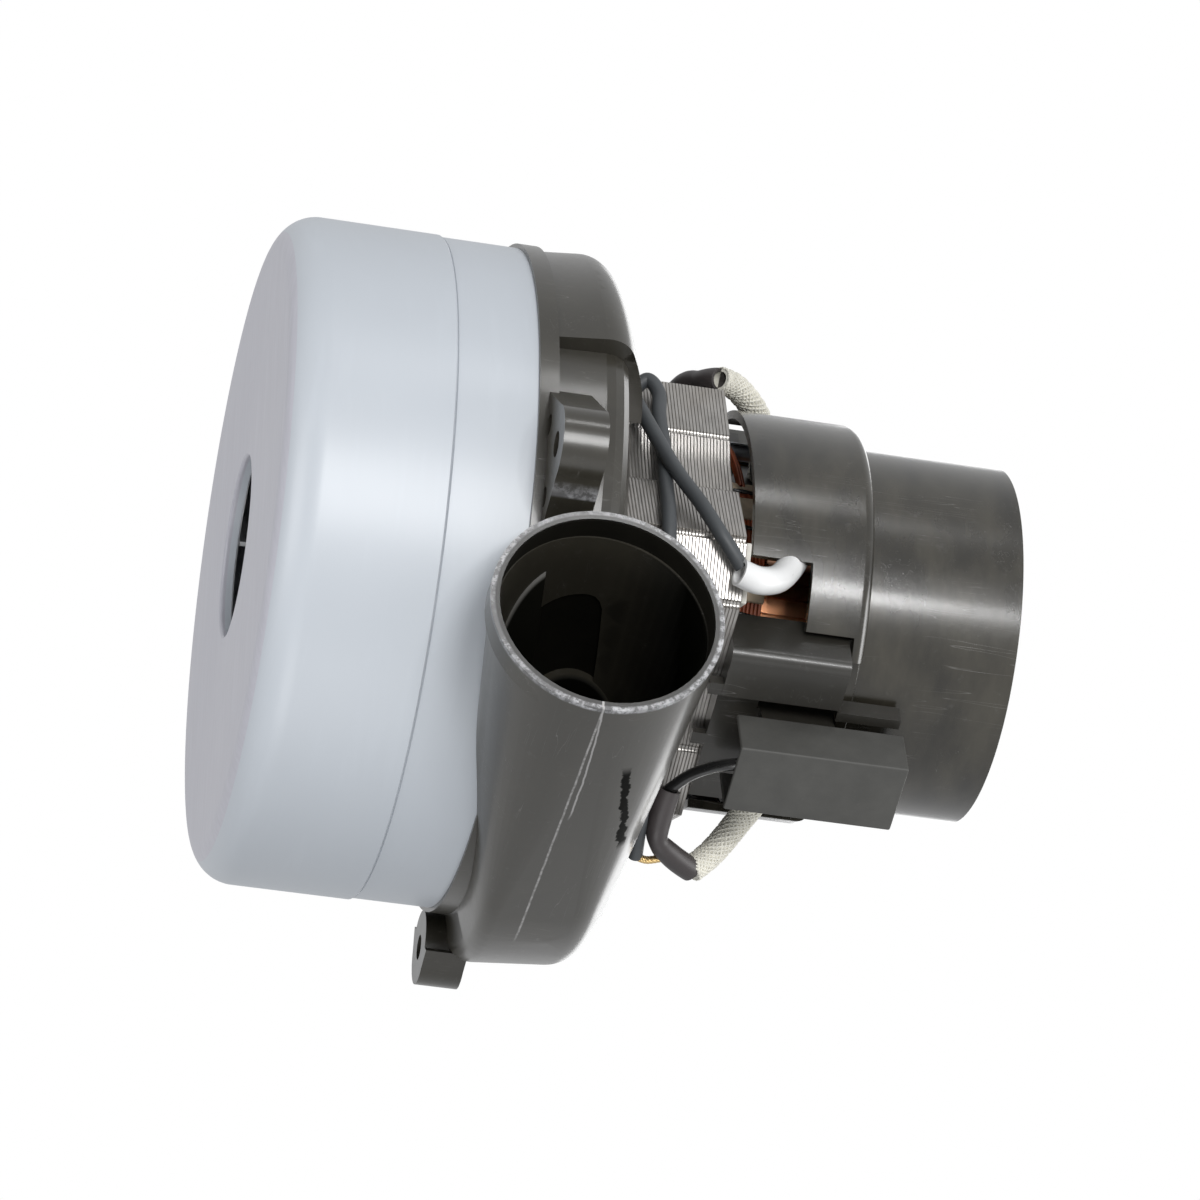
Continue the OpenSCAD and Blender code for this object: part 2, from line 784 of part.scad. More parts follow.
// Corners of a quarter of the outline, from the pole's back to the flat between the poles
stator_quarter = [[stack_x, yoke_half], [ear_x, ear_y], [ear_x - 1, ear_y + 0.8], [waist_x, waist_y],
  [hip_x, hip_y], [flank_x, flank_y], [crown_half, stack_y]];

function turned(list, x, y) = [for (q = list) [q[0] * x, q[1] * y]];

function backwards(list) = [for (i = [len(list) - 1:-1:0]) list[i]];

module stator_section() {
  difference() {
    polygon(concat(stator_quarter, backwards(turned(stator_quarter, -1, 1)),
      turned(stator_quarter, -1, -1), backwards(turned(stator_quarter, 1, -1))));
    circle(stator_bore_r);
    for (half = [0, 180]) rotate(half) {
      ring_sector(window_start, 180 - window_start, stator_bore_r + shoe_t, slot_outer_r);
      ring_sector(window_end, 180 - window_end, 1, slot_outer_r - 1);
    }
    for (x = [-1, 1], y = [-1, 1]) {
      translate([x * (stack_x - 0.4), y * yoke_half]) circle(notch_r);
      translate([x * (flank_x + 0.4), y * flank_y]) circle(notch_r);
    }
    for (y = [-1, 1]) translate([0, y * bolt_circle_r]) circle(bolt_r + bolt_gap);
  }
}

module stator_stack() {
  color([0.55, 0.54, 0.52]) rotate(pole_az) translate([0, 0, stack_z]) linear_extrude(stack_h) stator_section();
}

// A field coil: two sides in the slots, joined by a curved head at each end
module field_coil() {
  color([0.42, 0.16, 0.09]) {
    for (flip = [0, 1]) mirror([0, flip, 0]) translate([0, 0, stack_z - insulator_t])
      linear_extrude(stack_h + 2 * insulator_t) ring_sector(coil_start, coil_stop, coil_inner_r, coil_outer_r);
    for (low = [stack_z - insulator_t - coil_head_h, stack_top + insulator_t]) translate([0, 0, low])
      linear_extrude(coil_head_h) ring_sector(-coil_stop, coil_stop, coil_inner_r, coil_outer_r);
  }
}

module field_coil_a() {
  rotate(pole_az) field_coil();
}

module field_coil_b() {
  rotate(pole_az + 180) field_coil();
}

// Pale plates between the stack and the coil heads
module coil_insulators() {
  color([0.86, 0.84, 0.80]) for (half = [0, 180]) rotate(pole_az + half)
    for (plate = [[stack_z - insulator_t, chamber_r - 1], [stack_top, stack_x - 0.5]])
      translate([0, 0, plate[0]]) linear_extrude(insulator_t) {
      ring_sector(-window_start, window_start, coil_inner_r - 1, coil_outer_r + 3);
      translate([coil_outer_r, -yoke_half + 0.5]) square([plate[1] - coil_outer_r, 2 * yoke_half - 1]);
    }
}

module through_bolts() {
  color([0.62, 0.65, 0.70]) bolt_places() {
    translate([0, 0, flange_top + floor_t + 6]) cylinder(r = bolt_r, h = head_seat_z - flange_top - floor_t - 6);
    translate([0, 0, head_seat_z]) cylinder(r = bolt_head_r, h = bolt_head_h);
  }
}

// Brush gear, each half drawn with the brush along +X

module brush_halves() {
  for (half = [0, 180]) rotate(brush_az + half) children();
}

module bracket_half() {
  block_top = disc_z - 1.2;
  // Rounded block that stands on the stack beside the brush
  translate([block_inner, block_start, stack_top]) cube([block_outer - block_inner - block_edge_r, block_end - block_start, block_top - stack_top]);
  translate([block_outer - block_edge_r - eps, block_start + block_edge_r, stack_top])
    cube([block_edge_r, block_end - block_start - block_edge_r, block_top - stack_top]);
  translate([block_outer - block_edge_r, block_start + block_edge_r, stack_top])
    cylinder(r = block_edge_r, h = block_top - stack_top);
  translate([block_inner, block_start, block_top]) cube([4, block_end - block_start, disc_z - block_top + eps]);
  // Frame plate that joins the block and the brush seat on the stack
  translate([36, block_end - 1, stack_top]) cube([5.5, 31, 9]);
  // Hooks that grip the edge of the stack
  translate([41.9, -14.5, stack_top - 3]) cube([2.5, 3, 4]);
  translate([39.9, 1.5, stack_top - 3]) cube([1.6, 3, 4]);
  // Seat of the brush tube
  difference() {
    translate([27, -tube_w / 2 - 3, brush_z - tube_h / 2 - 2.4])
      cube([18.5, tube_w + 6, block_top - brush_z + tube_h / 2 + 2.4]);
    translate([20, -tube_w / 2, brush_z - tube_h / 2]) cube([40, tube_w, tube_h]);
  }
  translate([27, -tube_w / 2 - 3, block_top - eps]) cube([10, tube_w + 6, disc_z - block_top + 2 * eps]);
  translate([36, -tube_w / 2 - 3, stack_top + 8]) cube([5.5, tube_w + 6, brush_z - tube_h / 2 - stack_top - 9]);
  // Foot of the insulating box, outside the end cylinder
  translate([cap_r + 0.3, -box_w / 2 - 2.3, disc_z - 1.5]) cube([4.5, 2.3, 14]);
  translate([bracket_r - 5, -box_w / 2 - 2.3, disc_z - 1.5]) cube([cap_r - bracket_r + 9, 2.3, 1.5 + eps]);
}

module brush_bracket() {
  color([0.15, 0.15, 0.15]) difference() {
    union() {
      translate([0, 0, disc_z]) cylinder(r = bracket_r, h = disc_t);
      translate([0, 0, disc_z]) cylinder(r = bearing_r + 3, h = bearing_h + 2);
      brush_halves() bracket_half();
      bolt_places() translate([0, 0, post_z]) cylinder(r = post_r, h = disc_z - post_z + eps);
    }
    translate([0, 0, rear_bearing_z]) cylinder(r = bearing_r, h = motor_h);
    translate([0, 0, disc_z - 1]) cylinder(r = bearing_lip_r, h = motor_h);
    bolt_places() {
      translate([0, 0, post_z - 1]) cylinder(r = bolt_r + bolt_gap, h = motor_h);
      translate([0, 0, head_seat_z]) cylinder(r = bolt_head_r + bolt_gap, h = motor_h);
    }
    // Air windows between the hub and the rim
    for (i = [0:3]) rotate(brush_az + 90 * i + 20) translate([0, 0, disc_z - 1])
      linear_extrude(disc_t + 2) ring_sector(0, 50, bearing_r + 5, bearing_r + 13);
  }
}

module brush_tube() {
  color([0.72, 0.60, 0.35]) difference() {
    translate([tube_start, -tube_w / 2 + fit, brush_z - tube_h / 2 + fit])
      cube([tube_end - tube_start, tube_w - 2 * fit, tube_h - 2 * fit]);
    translate([0, -brush_w / 2 - fit, brush_z - brush_h / 2 - fit])
      cube([2 * tube_end, brush_w + 2 * fit, brush_h + 2 * fit]);
  }
}

module brush_tube_a() {
  rotate(brush_az) brush_tube();
}

module brush_tube_b() {
  rotate(brush_az + 180) brush_tube();
}

// New carbon brush, with a flat face that meets the commutator
module brush() {
  color([0.12, 0.12, 0.12]) translate([brush_start, -brush_w / 2, brush_z - brush_h / 2])
    cube([brush_l - fit, brush_w, brush_h]);
}

module brush_a() {
  rotate(brush_az) brush();
}

module brush_b() {
  rotate(brush_az + 180) brush();
}

// Coil spring behind a brush, drawn as its turns
module brush_spring() {
  spring_start = commutator_r + brush_l + fit;
  spring_end = tube_end - cap_plug;
  turns = 6;
  wire_r = 0.4;
  color([0.6, 0.6, 0.62]) for (i = [0:turns])
    translate([spring_start + wire_r + i * (spring_end - spring_start - 2 * wire_r) / turns, 0, brush_z])
      rotate([0, 90, 0]) rotate_extrude() translate([brush_w / 2 - 0.6, 0]) circle(wire_r, $fn = 16);
  color([0.6, 0.6, 0.62]) for (side = [-1, 1])
    translate([spring_start + wire_r, 0, brush_z + side * (brush_w / 2 - 0.6)])
      rotate([0, 90, 0]) cylinder(r = wire_r / 2, h = spring_end - spring_start - 2 * wire_r, $fn = 16);
}

module brush_spring_a() {
  rotate(brush_az) brush_spring();
}

module brush_spring_b() {
  rotate(brush_az + 180) brush_spring();
}

// Caps that close the brush tubes, with the terminal tab of the brush lead
module brush_caps() {
  color([0.70, 0.58, 0.34]) brush_halves() {
    translate([tube_end - cap_plug, -brush_w / 2, brush_z - brush_h / 2]) cube([cap_plug + 0.2, brush_w, brush_h]);
    translate([tube_end, -brush_w / 2 - 0.6, brush_z - brush_h / 2 - 1]) cube([cap_t, brush_w + 1.2, brush_h + 2]);
    translate([tube_end, -2.4, brush_z - brush_h / 2 - 6]) cube([cap_t, 4.8, 6.5]);
  }
}

// Folded fibre box over the end of a brush tube
module insulating_box() {
  inner = tube_end - 4;
  color([0.22, 0.22, 0.22]) translate([0, 0, box_z]) difference() {
    translate([inner, -box_w / 2, 0]) cube([box_outer - inner, box_w, box_h]);
    translate([inner - 1, -box_w / 2 + box_t, -1]) cube([box_outer - inner + 1 - box_t, box_w - 2 * box_t, box_h + 1 - box_t]);
  }
}

module insulating_box_a() {
  rotate(brush_az) insulating_box();
}

module insulating_box_b() {
  rotate(brush_az + 180) insulating_box();
}

// Commutator end cover

module cover_half_section() {
  edge = 2.4;
  difference() {
    union() {
      translate([0, skirt_z]) square([skirt_r, shoulder_z - skirt_z]);
      translate([0, shoulder_z - 1]) square([skirt_r - edge, edge + 1]);
      translate([skirt_r - edge, shoulder_z]) circle(edge);
      translate([0, shoulder_z]) square([cap_r, motor_h - shoulder_z]);
    }
    square([skirt_r - cover_wall, shoulder_z]);
    square([cap_r - cover_wall, motor_h - cover_wall]);
  }
}

module end_cover() {
  grille_inner = 12;
  grille_outer = 31;
  color([0.28, 0.28, 0.29]) difference() {
    rotate_extrude() cover_half_section();
    brush_halves() {
      translate([0, 0, skirt_z - 1]) linear_extrude(cut_high_z - skirt_z + 1)
        sector(cut_from, cut_to, 2 * skirt_r);
      translate([0, 0, skirt_z - 1]) linear_extrude(shoulder_z + 3 - skirt_z + 1) difference() {
        sector(cut_deep_from, cut_to, 2 * skirt_r);
        circle(cap_r + neck_fillet);
      }
      translate([0, 0, skirt_z - 1]) linear_extrude(cut_low_z - skirt_z + 1)
        sector(cut_low_from, cut_from + 1, 2 * skirt_r);
    }
    for (i = [0:grille_slots - 1]) rotate(i * 360 / grille_slots)
      translate([grille_inner, -1.6, motor_h - cover_wall - 1]) cube([grille_outer - grille_inner, 3.2, cover_wall + 2]);
  }
}

// Cooling fan and its retainer

module cooling_fan() {
  fan_disc_t = 1.6;
  color([0.2, 0.2, 0.21]) translate([0, 0, cooling_z]) difference() {
    union() {
      cylinder(r = cooling_r, h = fan_disc_t);
      cylinder(r = 9, h = cooling_h);
      for (i = [0:cooling_blades - 1]) rotate(i * 360 / cooling_blades)
        linear_extrude(cooling_h - 1) blade_arc(8, cooling_r - 0.4, cooling_r, 1.4);
    }
    translate([0, 0, -1]) cylinder(r = shaft_r, h = cooling_h + 2);
  }
}

module fan_retainer() {
  color([0.7, 0.7, 0.72]) {
    collar(cooling_z + cooling_h, cooling_z + cooling_h + 2.5, 8);
    collar(rear_bearing_z + bearing_h, cooling_z, inner_race_r);
  }
}

// Leads: a tube swept along a smoothed route

function smooth_point(p, i, t) =
  let (n = len(p) - 1, a = p[max(i - 1, 0)], b = p[i], c = p[min(i + 1, n)], d = p[min(i + 2, n)])
  0.5 * (2 * b + (c - a) * t + (2 * a - 5 * b + 4 * c - d) * t * t + (3 * b - a - 3 * c + d) * t * t * t);

function smooth_route(p, parts) = concat(
  [for (i = [0:len(p) - 2], k = [0:parts - 1]) smooth_point(p, i, k / parts)], [p[len(p) - 1]]);

function unit(v) = v / norm(v);

function route_way(p, i) = unit(p[min(i + 1, len(p) - 1)] - p[max(i - 1, 0)]);

// Side direction of each ring, carried along so that the tube doesn't twist
function carry_side(p, i, side) =
  let (way = route_way(p, i), flat = unit(side - (side * way) * way))
  i == len(p) - 1 ? [flat] : concat([flat], carry_side(p, i + 1, flat));

module tube_along(route, r, parts, sides) {
  path = smooth_route(route, parts);
  side_at = carry_side(path, 0, [0.3, 0.2, 1]);
  rings = len(path);
  points = [for (i = [0:rings - 1]) let (way = route_way(path, i), u = side_at[i], v = cross(way, u))
    for (k = [0:sides - 1]) path[i] + r * (cos(k * 360 / sides) * u + sin(k * 360 / sides) * v)];
  walls = [for (i = [0:rings - 2], k = [0:sides - 1]) let (n = (k + 1) % sides)
    [i * sides + k, (i + 1) * sides + k, (i + 1) * sides + n, i * sides + n]];
  split = [for (w = walls) each [[w[0], w[1], w[2]], [w[0], w[2], w[3]]]];
  near_cap = [for (k = [0:sides - 1]) k];
  far_cap = [for (k = [sides - 1:-1:0]) (rings - 1) * sides + k];
  polyhedron(points, concat(split, [near_cap, far_cap]));
}

module coil_lead() {
  color([0.27, 0.28, 0.29]) tube_along(coil_lead_route, lead_r, 2, 8);
}

module cross_lead() {
  color([0.27, 0.28, 0.29]) tube_along(cross_lead_route, lead_r, 2, 8);
}

// Bared end of the cross lead, twisted into the splice
module bare_twist() {
  color([0.72, 0.62, 0.42]) tube_along(bare_twist_route, bare_r, 1, 8);
}

module coil_sleeve() {
  color([0.93, 0.93, 0.92]) tube_along(coil_sleeve_route, braid_r, 2, 10);
}

module brush_lead() {
  color([0.12, 0.12, 0.12]) tube_along(brush_lead_route, thin_lead_r, 2, 8);
}

module lower_splice() {
  color([0.17, 0.16, 0.16]) tube_along(lower_splice_route, shrink_r, 2, 10);
}

module upper_splice() {
  color([0.17, 0.16, 0.16]) tube_along(upper_splice_route, shrink_r, 2, 10);
}

module lower_braid() {
  color([0.90, 0.89, 0.85]) tube_along(lower_braid_route, braid_r, 2, 10);
}

module upper_braid() {
  color([0.90, 0.89, 0.85]) tube_along(upper_braid_route, braid_r, 2, 10);
}

front_fan_can();
rear_fan_can();
scroll_housing();
first_impeller();
second_impeller();
stage_guide_plate();
diffuser_plate();
rotor_shaft();
fan_spacers();
fan_washer();
fan_nut();
bearing_outer_races();
bearing_inner_races();
armature_core();
armature_winding();
commutator();
commutator_hooks();
commutator_hub();
stator_stack();
field_coil_a();
field_coil_b();
coil_insulators();
through_bolts();
brush_bracket();
brush_tube_a();
brush_tube_b();
brush_a();
brush_b();
brush_spring_a();
brush_spring_b();
brush_caps();
insulating_box_a();
insulating_box_b();
end_cover();
cooling_fan();
fan_retainer();
coil_lead();
cross_lead();
bare_twist();
coil_sleeve();
brush_lead();
lower_splice();
upper_splice();
lower_braid();
upper_braid();
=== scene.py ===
"""A two-stage bypass vacuum motor with a scroll and a tangential horn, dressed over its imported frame."""
from __future__ import annotations

import logging
import math
import random
from dataclasses import dataclass, field
from enum import Enum
from typing import Callable, Sequence

import bmesh
import bpy
from mathutils import Matrix, Vector

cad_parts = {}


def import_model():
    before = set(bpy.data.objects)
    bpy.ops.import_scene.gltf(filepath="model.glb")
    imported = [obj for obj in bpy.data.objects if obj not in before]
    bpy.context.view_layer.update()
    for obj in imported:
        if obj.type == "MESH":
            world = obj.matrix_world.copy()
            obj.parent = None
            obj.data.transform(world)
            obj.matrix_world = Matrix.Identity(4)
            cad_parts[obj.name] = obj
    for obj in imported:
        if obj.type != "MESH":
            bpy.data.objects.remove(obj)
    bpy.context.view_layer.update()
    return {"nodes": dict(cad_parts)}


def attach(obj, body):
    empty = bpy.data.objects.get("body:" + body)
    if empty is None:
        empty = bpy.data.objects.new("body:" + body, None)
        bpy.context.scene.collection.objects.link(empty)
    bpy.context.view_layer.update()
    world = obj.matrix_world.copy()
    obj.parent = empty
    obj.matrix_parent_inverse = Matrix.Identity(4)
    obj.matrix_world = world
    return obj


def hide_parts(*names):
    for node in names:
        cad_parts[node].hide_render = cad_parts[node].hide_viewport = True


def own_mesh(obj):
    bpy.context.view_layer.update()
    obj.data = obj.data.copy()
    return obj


log = logging.getLogger("vacuum_motor")
MM = 0.001
RIM = (0.0764, 0.058, 0.0654)  # the centre of the horn's rim, in metres
BORE_TAPER = 0.105  # what the bore's radius loses for each step inwards
BORE_LEAN = (0.079, 0.061)  # how far its axis moves in y and z for each step inwards
Pair = tuple[float, float]
Point = tuple[float, float, float]
Route = Sequence[Point]
Colour = tuple[float, float, float, float]
Piece = bpy.types.Object
Socket = bpy.types.NodeSocket


class Grain(Enum):
    """Which way the fine lines of a surface run."""

    ROUND_SHAFT = "round_shaft"
    ALONG_SHAFT = "along_shaft"
    NONE = "none"


# Shader sums


class Val:
    """A number socket that takes part in sums written as Python expressions."""

    def __init__(self, nodes: Nodes, socket: Socket) -> None:
        """Wraps an output socket of a node tree."""
        self.nodes = nodes
        self.socket = socket

    def _do(self, operation: str, *values: Val | float) -> Val:
        """The result of one Math node on its inputs, in order."""
        return self.nodes.value("ShaderNodeMath", {"operation": operation}, dict(enumerate(values)))

    def __add__(self, other: Val | float) -> Val:
        """Sum."""
        return self._do("ADD", self, other)

    __radd__ = __add__

    def __sub__(self, other: Val | float) -> Val:
        """Difference."""
        return self._do("SUBTRACT", self, other)

    def __rsub__(self, other: Val | float) -> Val:
        """Difference from a plain number."""
        return self._do("SUBTRACT", other, self)

    def __mul__(self, other: Val | float) -> Val:
        """Product."""
        return self._do("MULTIPLY", self, other)

    __rmul__ = __mul__

    def __truediv__(self, other: Val | float) -> Val:
        """Quotient."""
        return self._do("DIVIDE", self, other)

    def __pow__(self, other: Val | float) -> Val:
        """Power."""
        return self._do("POWER", self, other)

    def size(self) -> Val:
        """Distance from zero."""
        return self._do("ABSOLUTE", self)

    def floor(self) -> Val:
        """The whole number below."""
        return self._do("FLOOR", self)

    def fraction(self) -> Val:
        """What is left over the whole number below."""
        return self._do("FRACT", self)

    def less(self, edge: float) -> Val:
        """1 where the value is under the edge."""
        return self._do("LESS_THAN", self, edge)

    def span(self, low: float, high: float) -> Val:
        """The value mapped so that low gives 0 and high gives 1, and kept within them."""
        inputs = {0: self, 1: low, 2: high, 3: 0.0, 4: 1.0}
        return self.nodes.value("ShaderNodeMapRange", {"clamp": True}, inputs)


class Nodes:
    """A node tree under construction."""

    def __init__(self, tree: bpy.types.NodeTree) -> None:
        """Empties a tree, to build in it."""
        self.tree = tree
        self.tree.nodes.clear()

    def connect(self, node: bpy.types.Node, key: int | str, value: object) -> None:
        """Sets or links one input of a node.

        Args:
            node: The node.
            key: The input's index or name.
            value: A plain value, or the socket or sum that feeds it.
        """
        if isinstance(value, Val):
            value = value.socket
        if isinstance(value, Socket):
            self.tree.links.new(value, node.inputs[key])
        else:
            node.inputs[key].default_value = value

    def add(self, kind: str, settings: dict[str, object], inputs: dict[int | str, object]) -> bpy.types.Node:
        """Adds a node of any type.

        Args:
            kind: The node's type.
            settings: The node's own settings, set before its sockets.
            inputs: Values or links of its sockets, by index or name.

        Returns:
            The node.
        """
        node = self.tree.nodes.new(kind)
        for key, value in settings.items():
            setattr(node, key, value)
        for key, value in inputs.items():
            self.connect(node, key, value)
        return node

    def value(self, kind: str, settings: dict[str, object], inputs: dict[int | str, object]) -> Val:
        """The first output of a new node, for use in sums."""
        return Val(self, self.add(kind, settings, inputs).outputs[0])


class Shader(Nodes):
    """A material under construction, with one principled surface."""

    def __init__(self, name: str) -> None:
        """Starts an empty material.

        Args:
            name: The material's name.
        """
        self.mat = bpy.data.materials.new(name)
        self.mat.use_nodes = True
        super().__init__(self.mat.node_tree)
        self.bsdf = self.add("ShaderNodeBsdfPrincipled", {}, {})
        self.out = self.add("ShaderNodeOutputMaterial", {}, {0: self.bsdf.outputs[0]})
        self.place = self.add("ShaderNodeTexCoord", {}, {}).outputs["Object"]

    def axes(self) -> tuple[Val, ...]:
        """The x, y and z of the surface point, in metres."""
        node = self.add("ShaderNodeSeparateXYZ", {}, {0: self.place})
        return tuple(Val(self, output) for output in node.outputs)

    def turned(self) -> tuple[Val, Val, Val]:
        """Radius, direction in radians and height of the surface point about the shaft."""
        x, y, z = self.axes()
        radius = (x * x + y * y) ** 0.5
        return radius, self.value("ShaderNodeMath", {"operation": "ARCTAN2"}, {0: y, 1: x}), z

    def point(self, x: Val | float, y: Val | float, z: Val | float) -> Socket:
        """A vector from three numbers."""
        return self.add("ShaderNodeCombineXYZ", {}, {0: x, 1: y, 2: z}).outputs[0]

    def stretched(self, scale: Point) -> Socket:
        """The surface point with each axis scaled."""
        node = self.add("ShaderNodeVectorMath", {"operation": "MULTIPLY"}, {0: self.place, 1: scale})
        return node.outputs[0]

    def noise(self, scale: float, detail: float, rough: float, vector: Socket | None = None) -> Val:
        """Smooth random cloud between 0 and 1.

        Args:
            scale: Clouds per metre.
            detail: Finer layers added.
            rough: Strength of the finer layers.
            vector: Where it is read, or None for the surface point.

        Returns:
            The cloud's value.
        """
        inputs = {"Vector": vector or self.place, "Scale": scale, "Detail": detail, "Roughness": rough}
        return self.value("ShaderNodeTexNoise", {}, inputs)

    def mix(self, share: Val | float, first: object, second: object) -> Socket:
        """Blend of two colours, with the share of the second."""
        return self.add("ShaderNodeMix", {"data_type": "RGBA"}, {0: share, 6: first, 7: second}).outputs[2]

    def shades(self, share: Val, colour: Colour, low: float, high: float) -> Socket:
        """Blend of a darker and a lighter tint of one colour."""
        return self.mix(share, tint(colour, low), tint(colour, high))

    def bump(self, height: Val, distance: float, strength: float) -> None:
        """Raises the surface by a height in steps of a distance in metres."""
        node = self.add("ShaderNodeBump", {}, {"Height": height, "Distance": distance, "Strength": strength})
        self.feed("Normal", node.outputs[0])

    def feed(self, name: str, value: object) -> None:
        """Sets or links one input of the surface."""
        self.connect(self.bsdf, name, value)


def rgba(r: float, g: float, b: float) -> Colour:
    """An opaque colour."""
    return (r, g, b, 1.0)


def tint(colour: Colour, factor: float) -> Colour:
    """A colour with each channel multiplied by a factor, up to 1."""
    return rgba(*[min(1.0, channel * factor) for channel in colour[:3]])


# Finishes


class Finish:
    """What every finish shares: the making of a named material."""

    def make(self) -> bpy.types.Material:
        """Builds the material."""
        shader = Shader(self.name)
        self.paint(shader)
        return shader.mat


@dataclass(frozen=True)
class SatinPaint(Finish):
    """Pale satin paint on pressed sheet, with faint streaks round the can."""

    name: str = "can_paint"
    colour: Colour = rgba(0.47, 0.50, 0.535)
    face: Colour = rgba(0.46, 0.455, 0.50)
    face_depth: float = 0.0012

    def paint(self, s: Shader) -> None:
        """Streaks the wall, and gives the flat inlet face its own grain.

        Args:
            s: The material in the making.
        """
        radius, angle, z = s.turned()
        streak = s.noise(9.0, 3.0, 0.5, s.point(radius * 30.0, angle * 0.35, z * 40.0))
        wash = s.noise(14.0, 3.0, 0.5)
        grit = s.noise(2600.0, 2.0, 0.5)
        wall = s.shades(wash.span(0.35, 0.7), self.colour, 0.96, 1.03)
        wall = s.mix(streak.span(0.55, 0.75) * 0.18, wall, tint(self.colour, 1.12))
        rolled = s.noise(900.0, 2.0, 0.6, s.stretched((1.0, 0.04, 1.0)))
        flat = s.shades(rolled.span(0.3, 0.75), self.face, 0.94, 1.05)
        s.feed("Base Color", s.mix(z.less(self.face_depth), wall, flat))
        s.feed("Roughness", 0.36 + wash * 0.10 + streak * 0.06)
        s.feed("Coat Weight", 0.25)
        s.feed("Coat Roughness", 0.28)
        s.bump(grit + streak * 0.6, 0.00002, 0.35)


@dataclass(frozen=True)
class BlackMoulding(Finish):
    """Black plastic moulding, dusty and pale-scuffed, with painted reflection bands round the shaft where
    asked.
    """

    name: str
    colour: Colour
    rough: float
    dust_and_sheen: float
    scuff: float
    coat: float = 0.3
    # Grain.ROUND_SHAFT also paints lighter and darker bands round the shaft: painted reflection.
    grain: Grain = Grain.NONE
    # Turns on the horn's wear, and the painted shade in its bore and nick.
    horn_wear_and_shade: bool = False

    def inside(self, s: Shader) -> Val:
        """Share of a point that gets painted shade, in the horn's bore and in the nick at its side.

        Args:
            s: The material in the making.

        Returns:
            The share, from 0 to 1.
        """
        x, y, z = s.axes()
        wobble = s.noise(260.0, 3.0, 0.6) - 0.5
        # The nick is a notch that is not modelled; its dark is painted shade.
        nick = (z + (x - 0.052) * 0.19 - 0.0748 + wobble * 0.0034).size().span(0.0010, 0.0007)
        nick = nick * x.span(0.021, 0.024) * x.span(0.055, 0.052) * y.span(0.068, 0.070)
        depth = RIM[0] - x
        aside = y - RIM[1] - depth * BORE_LEAN[0]
        above = z - RIM[2] - depth * BORE_LEAN[1]
        off = (aside ** 2.0 + above ** 2.0) ** 0.5
        # Inside the horn's bore, which is painted dark as shade.
        bore = (off + depth * BORE_TAPER).span(0.0226, 0.0220)
        bore = bore * depth.span(0.0008, 0.0030) * x.span(-0.020, -0.010)
        return nick + bore * y.span(0.030, 0.031) * (1.0 - nick)

    def marked(self, s: Shader, base: object) -> object:
        """Adds the wear of the horn: a chipped rim, the parting line and a scratch.

        Args:
            s: The material in the making.
            base: Its colour so far.

        Returns:
            The worn colour.
        """
        x, y, z = s.axes()
        wobble = s.noise(260.0, 3.0, 0.6) - 0.5
        chips = s.noise(700.0, 3.0, 0.7).span(0.42, 0.60)
        worn = s.noise(60.0, 3.0, 0.6).span(0.36, 0.55)
        from_axis = ((y - RIM[1]) ** 2.0 + (z - RIM[2]) ** 2.0) ** 0.5
        rim = x.span(0.0752, 0.0758) * y.span(0.030, 0.031)
        edge = rim * from_axis.span(0.0229, 0.0233)
        base = s.mix(rim, base, rgba(0.012, 0.011, 0.009))
        base = s.mix(edge * (0.2 + chips * worn * 0.8), base, rgba(0.46, 0.46, 0.47))
        side = y.span(0.068, 0.070) * x.span(-0.018, -0.012)
        from_rim = x - RIM[0]
        parting = (z + from_rim * 0.0188 - 0.0646 + wobble * 0.0003).size().span(0.00030, 0.00012)
        base = s.mix(side * parting * (0.35 + chips * 0.4), base, rgba(0.40, 0.39, 0.38))
        bow = from_rim * 0.054 + from_rim * (x - 0.036) * 1.2
        scratch = (z + bow - 0.0646 + wobble * 0.0006).size().span(0.00026, 0.00010) * x.span(0.034, 0.038)
        return s.mix(side * scratch * 0.7, base, rgba(0.42, 0.41, 0.40))

    def paint(self, s: Shader) -> None:
        """Adds dusty clouds, scratches and, where asked, painted reflection bands round the shaft or the
        horn's wear with painted shade in its bore.

        Args:
            s: The material in the making.
        """
        _, angle, z = s.turned()
        cloud = s.noise(45.0, 5.0, 0.62)
        fine = s.noise(420.0, 4.0, 0.6)
        scratch = s.noise(260.0, 2.0, 0.7, s.stretched((1.0, 1.0, 0.05)))
        cross = s.noise(300.0, 2.0, 0.7, s.stretched((0.06, 1.0, 1.0)))
        line = (scratch - 0.5).size().span(0.004, 0.0) * cloud.span(0.5, 0.66)
        line = line + (cross - 0.5).size().span(0.003, 0.0) * cloud.span(0.45, 0.3)
        height = fine * 0.6 + cloud * 0.4 - line * 0.5
        base = s.mix(cloud.span(0.42, 0.72) * self.dust_and_sheen, self.colour, tint(self.colour, 2.1))
        base = s.mix(fine.span(0.62, 0.80) * min(self.dust_and_sheen, 0.4) * 0.25, base, rgba(0.24, 0.24, 0.235))
        if self.grain is Grain.ROUND_SHAFT:
            # Painted reflection: lighter and darker bands round the shaft, scaled with the dust.
            painted_reflection = s.noise(3.4, 4.0, 0.55, s.point(angle * 0.55, 0.0, z * 34.0))
            base = s.mix(painted_reflection.span(0.47, 0.66) * self.dust_and_sheen, base, tint(self.colour, 2.4))
            base = s.mix(painted_reflection.span(0.46, 0.34) * self.dust_and_sheen, base, tint(self.colour, 0.4))
            height = height + s.noise(60.0, 3.0, 0.6, s.point(angle * 0.4, 0.0, z * 14.0)) * 0.8
        base = s.mix(line * self.scuff, base, rgba(0.34, 0.33, 0.32))
        rough = self.rough + cloud * 0.14 + fine * 0.06
        coat: Val | float = self.coat
        if self.horn_wear_and_shade:
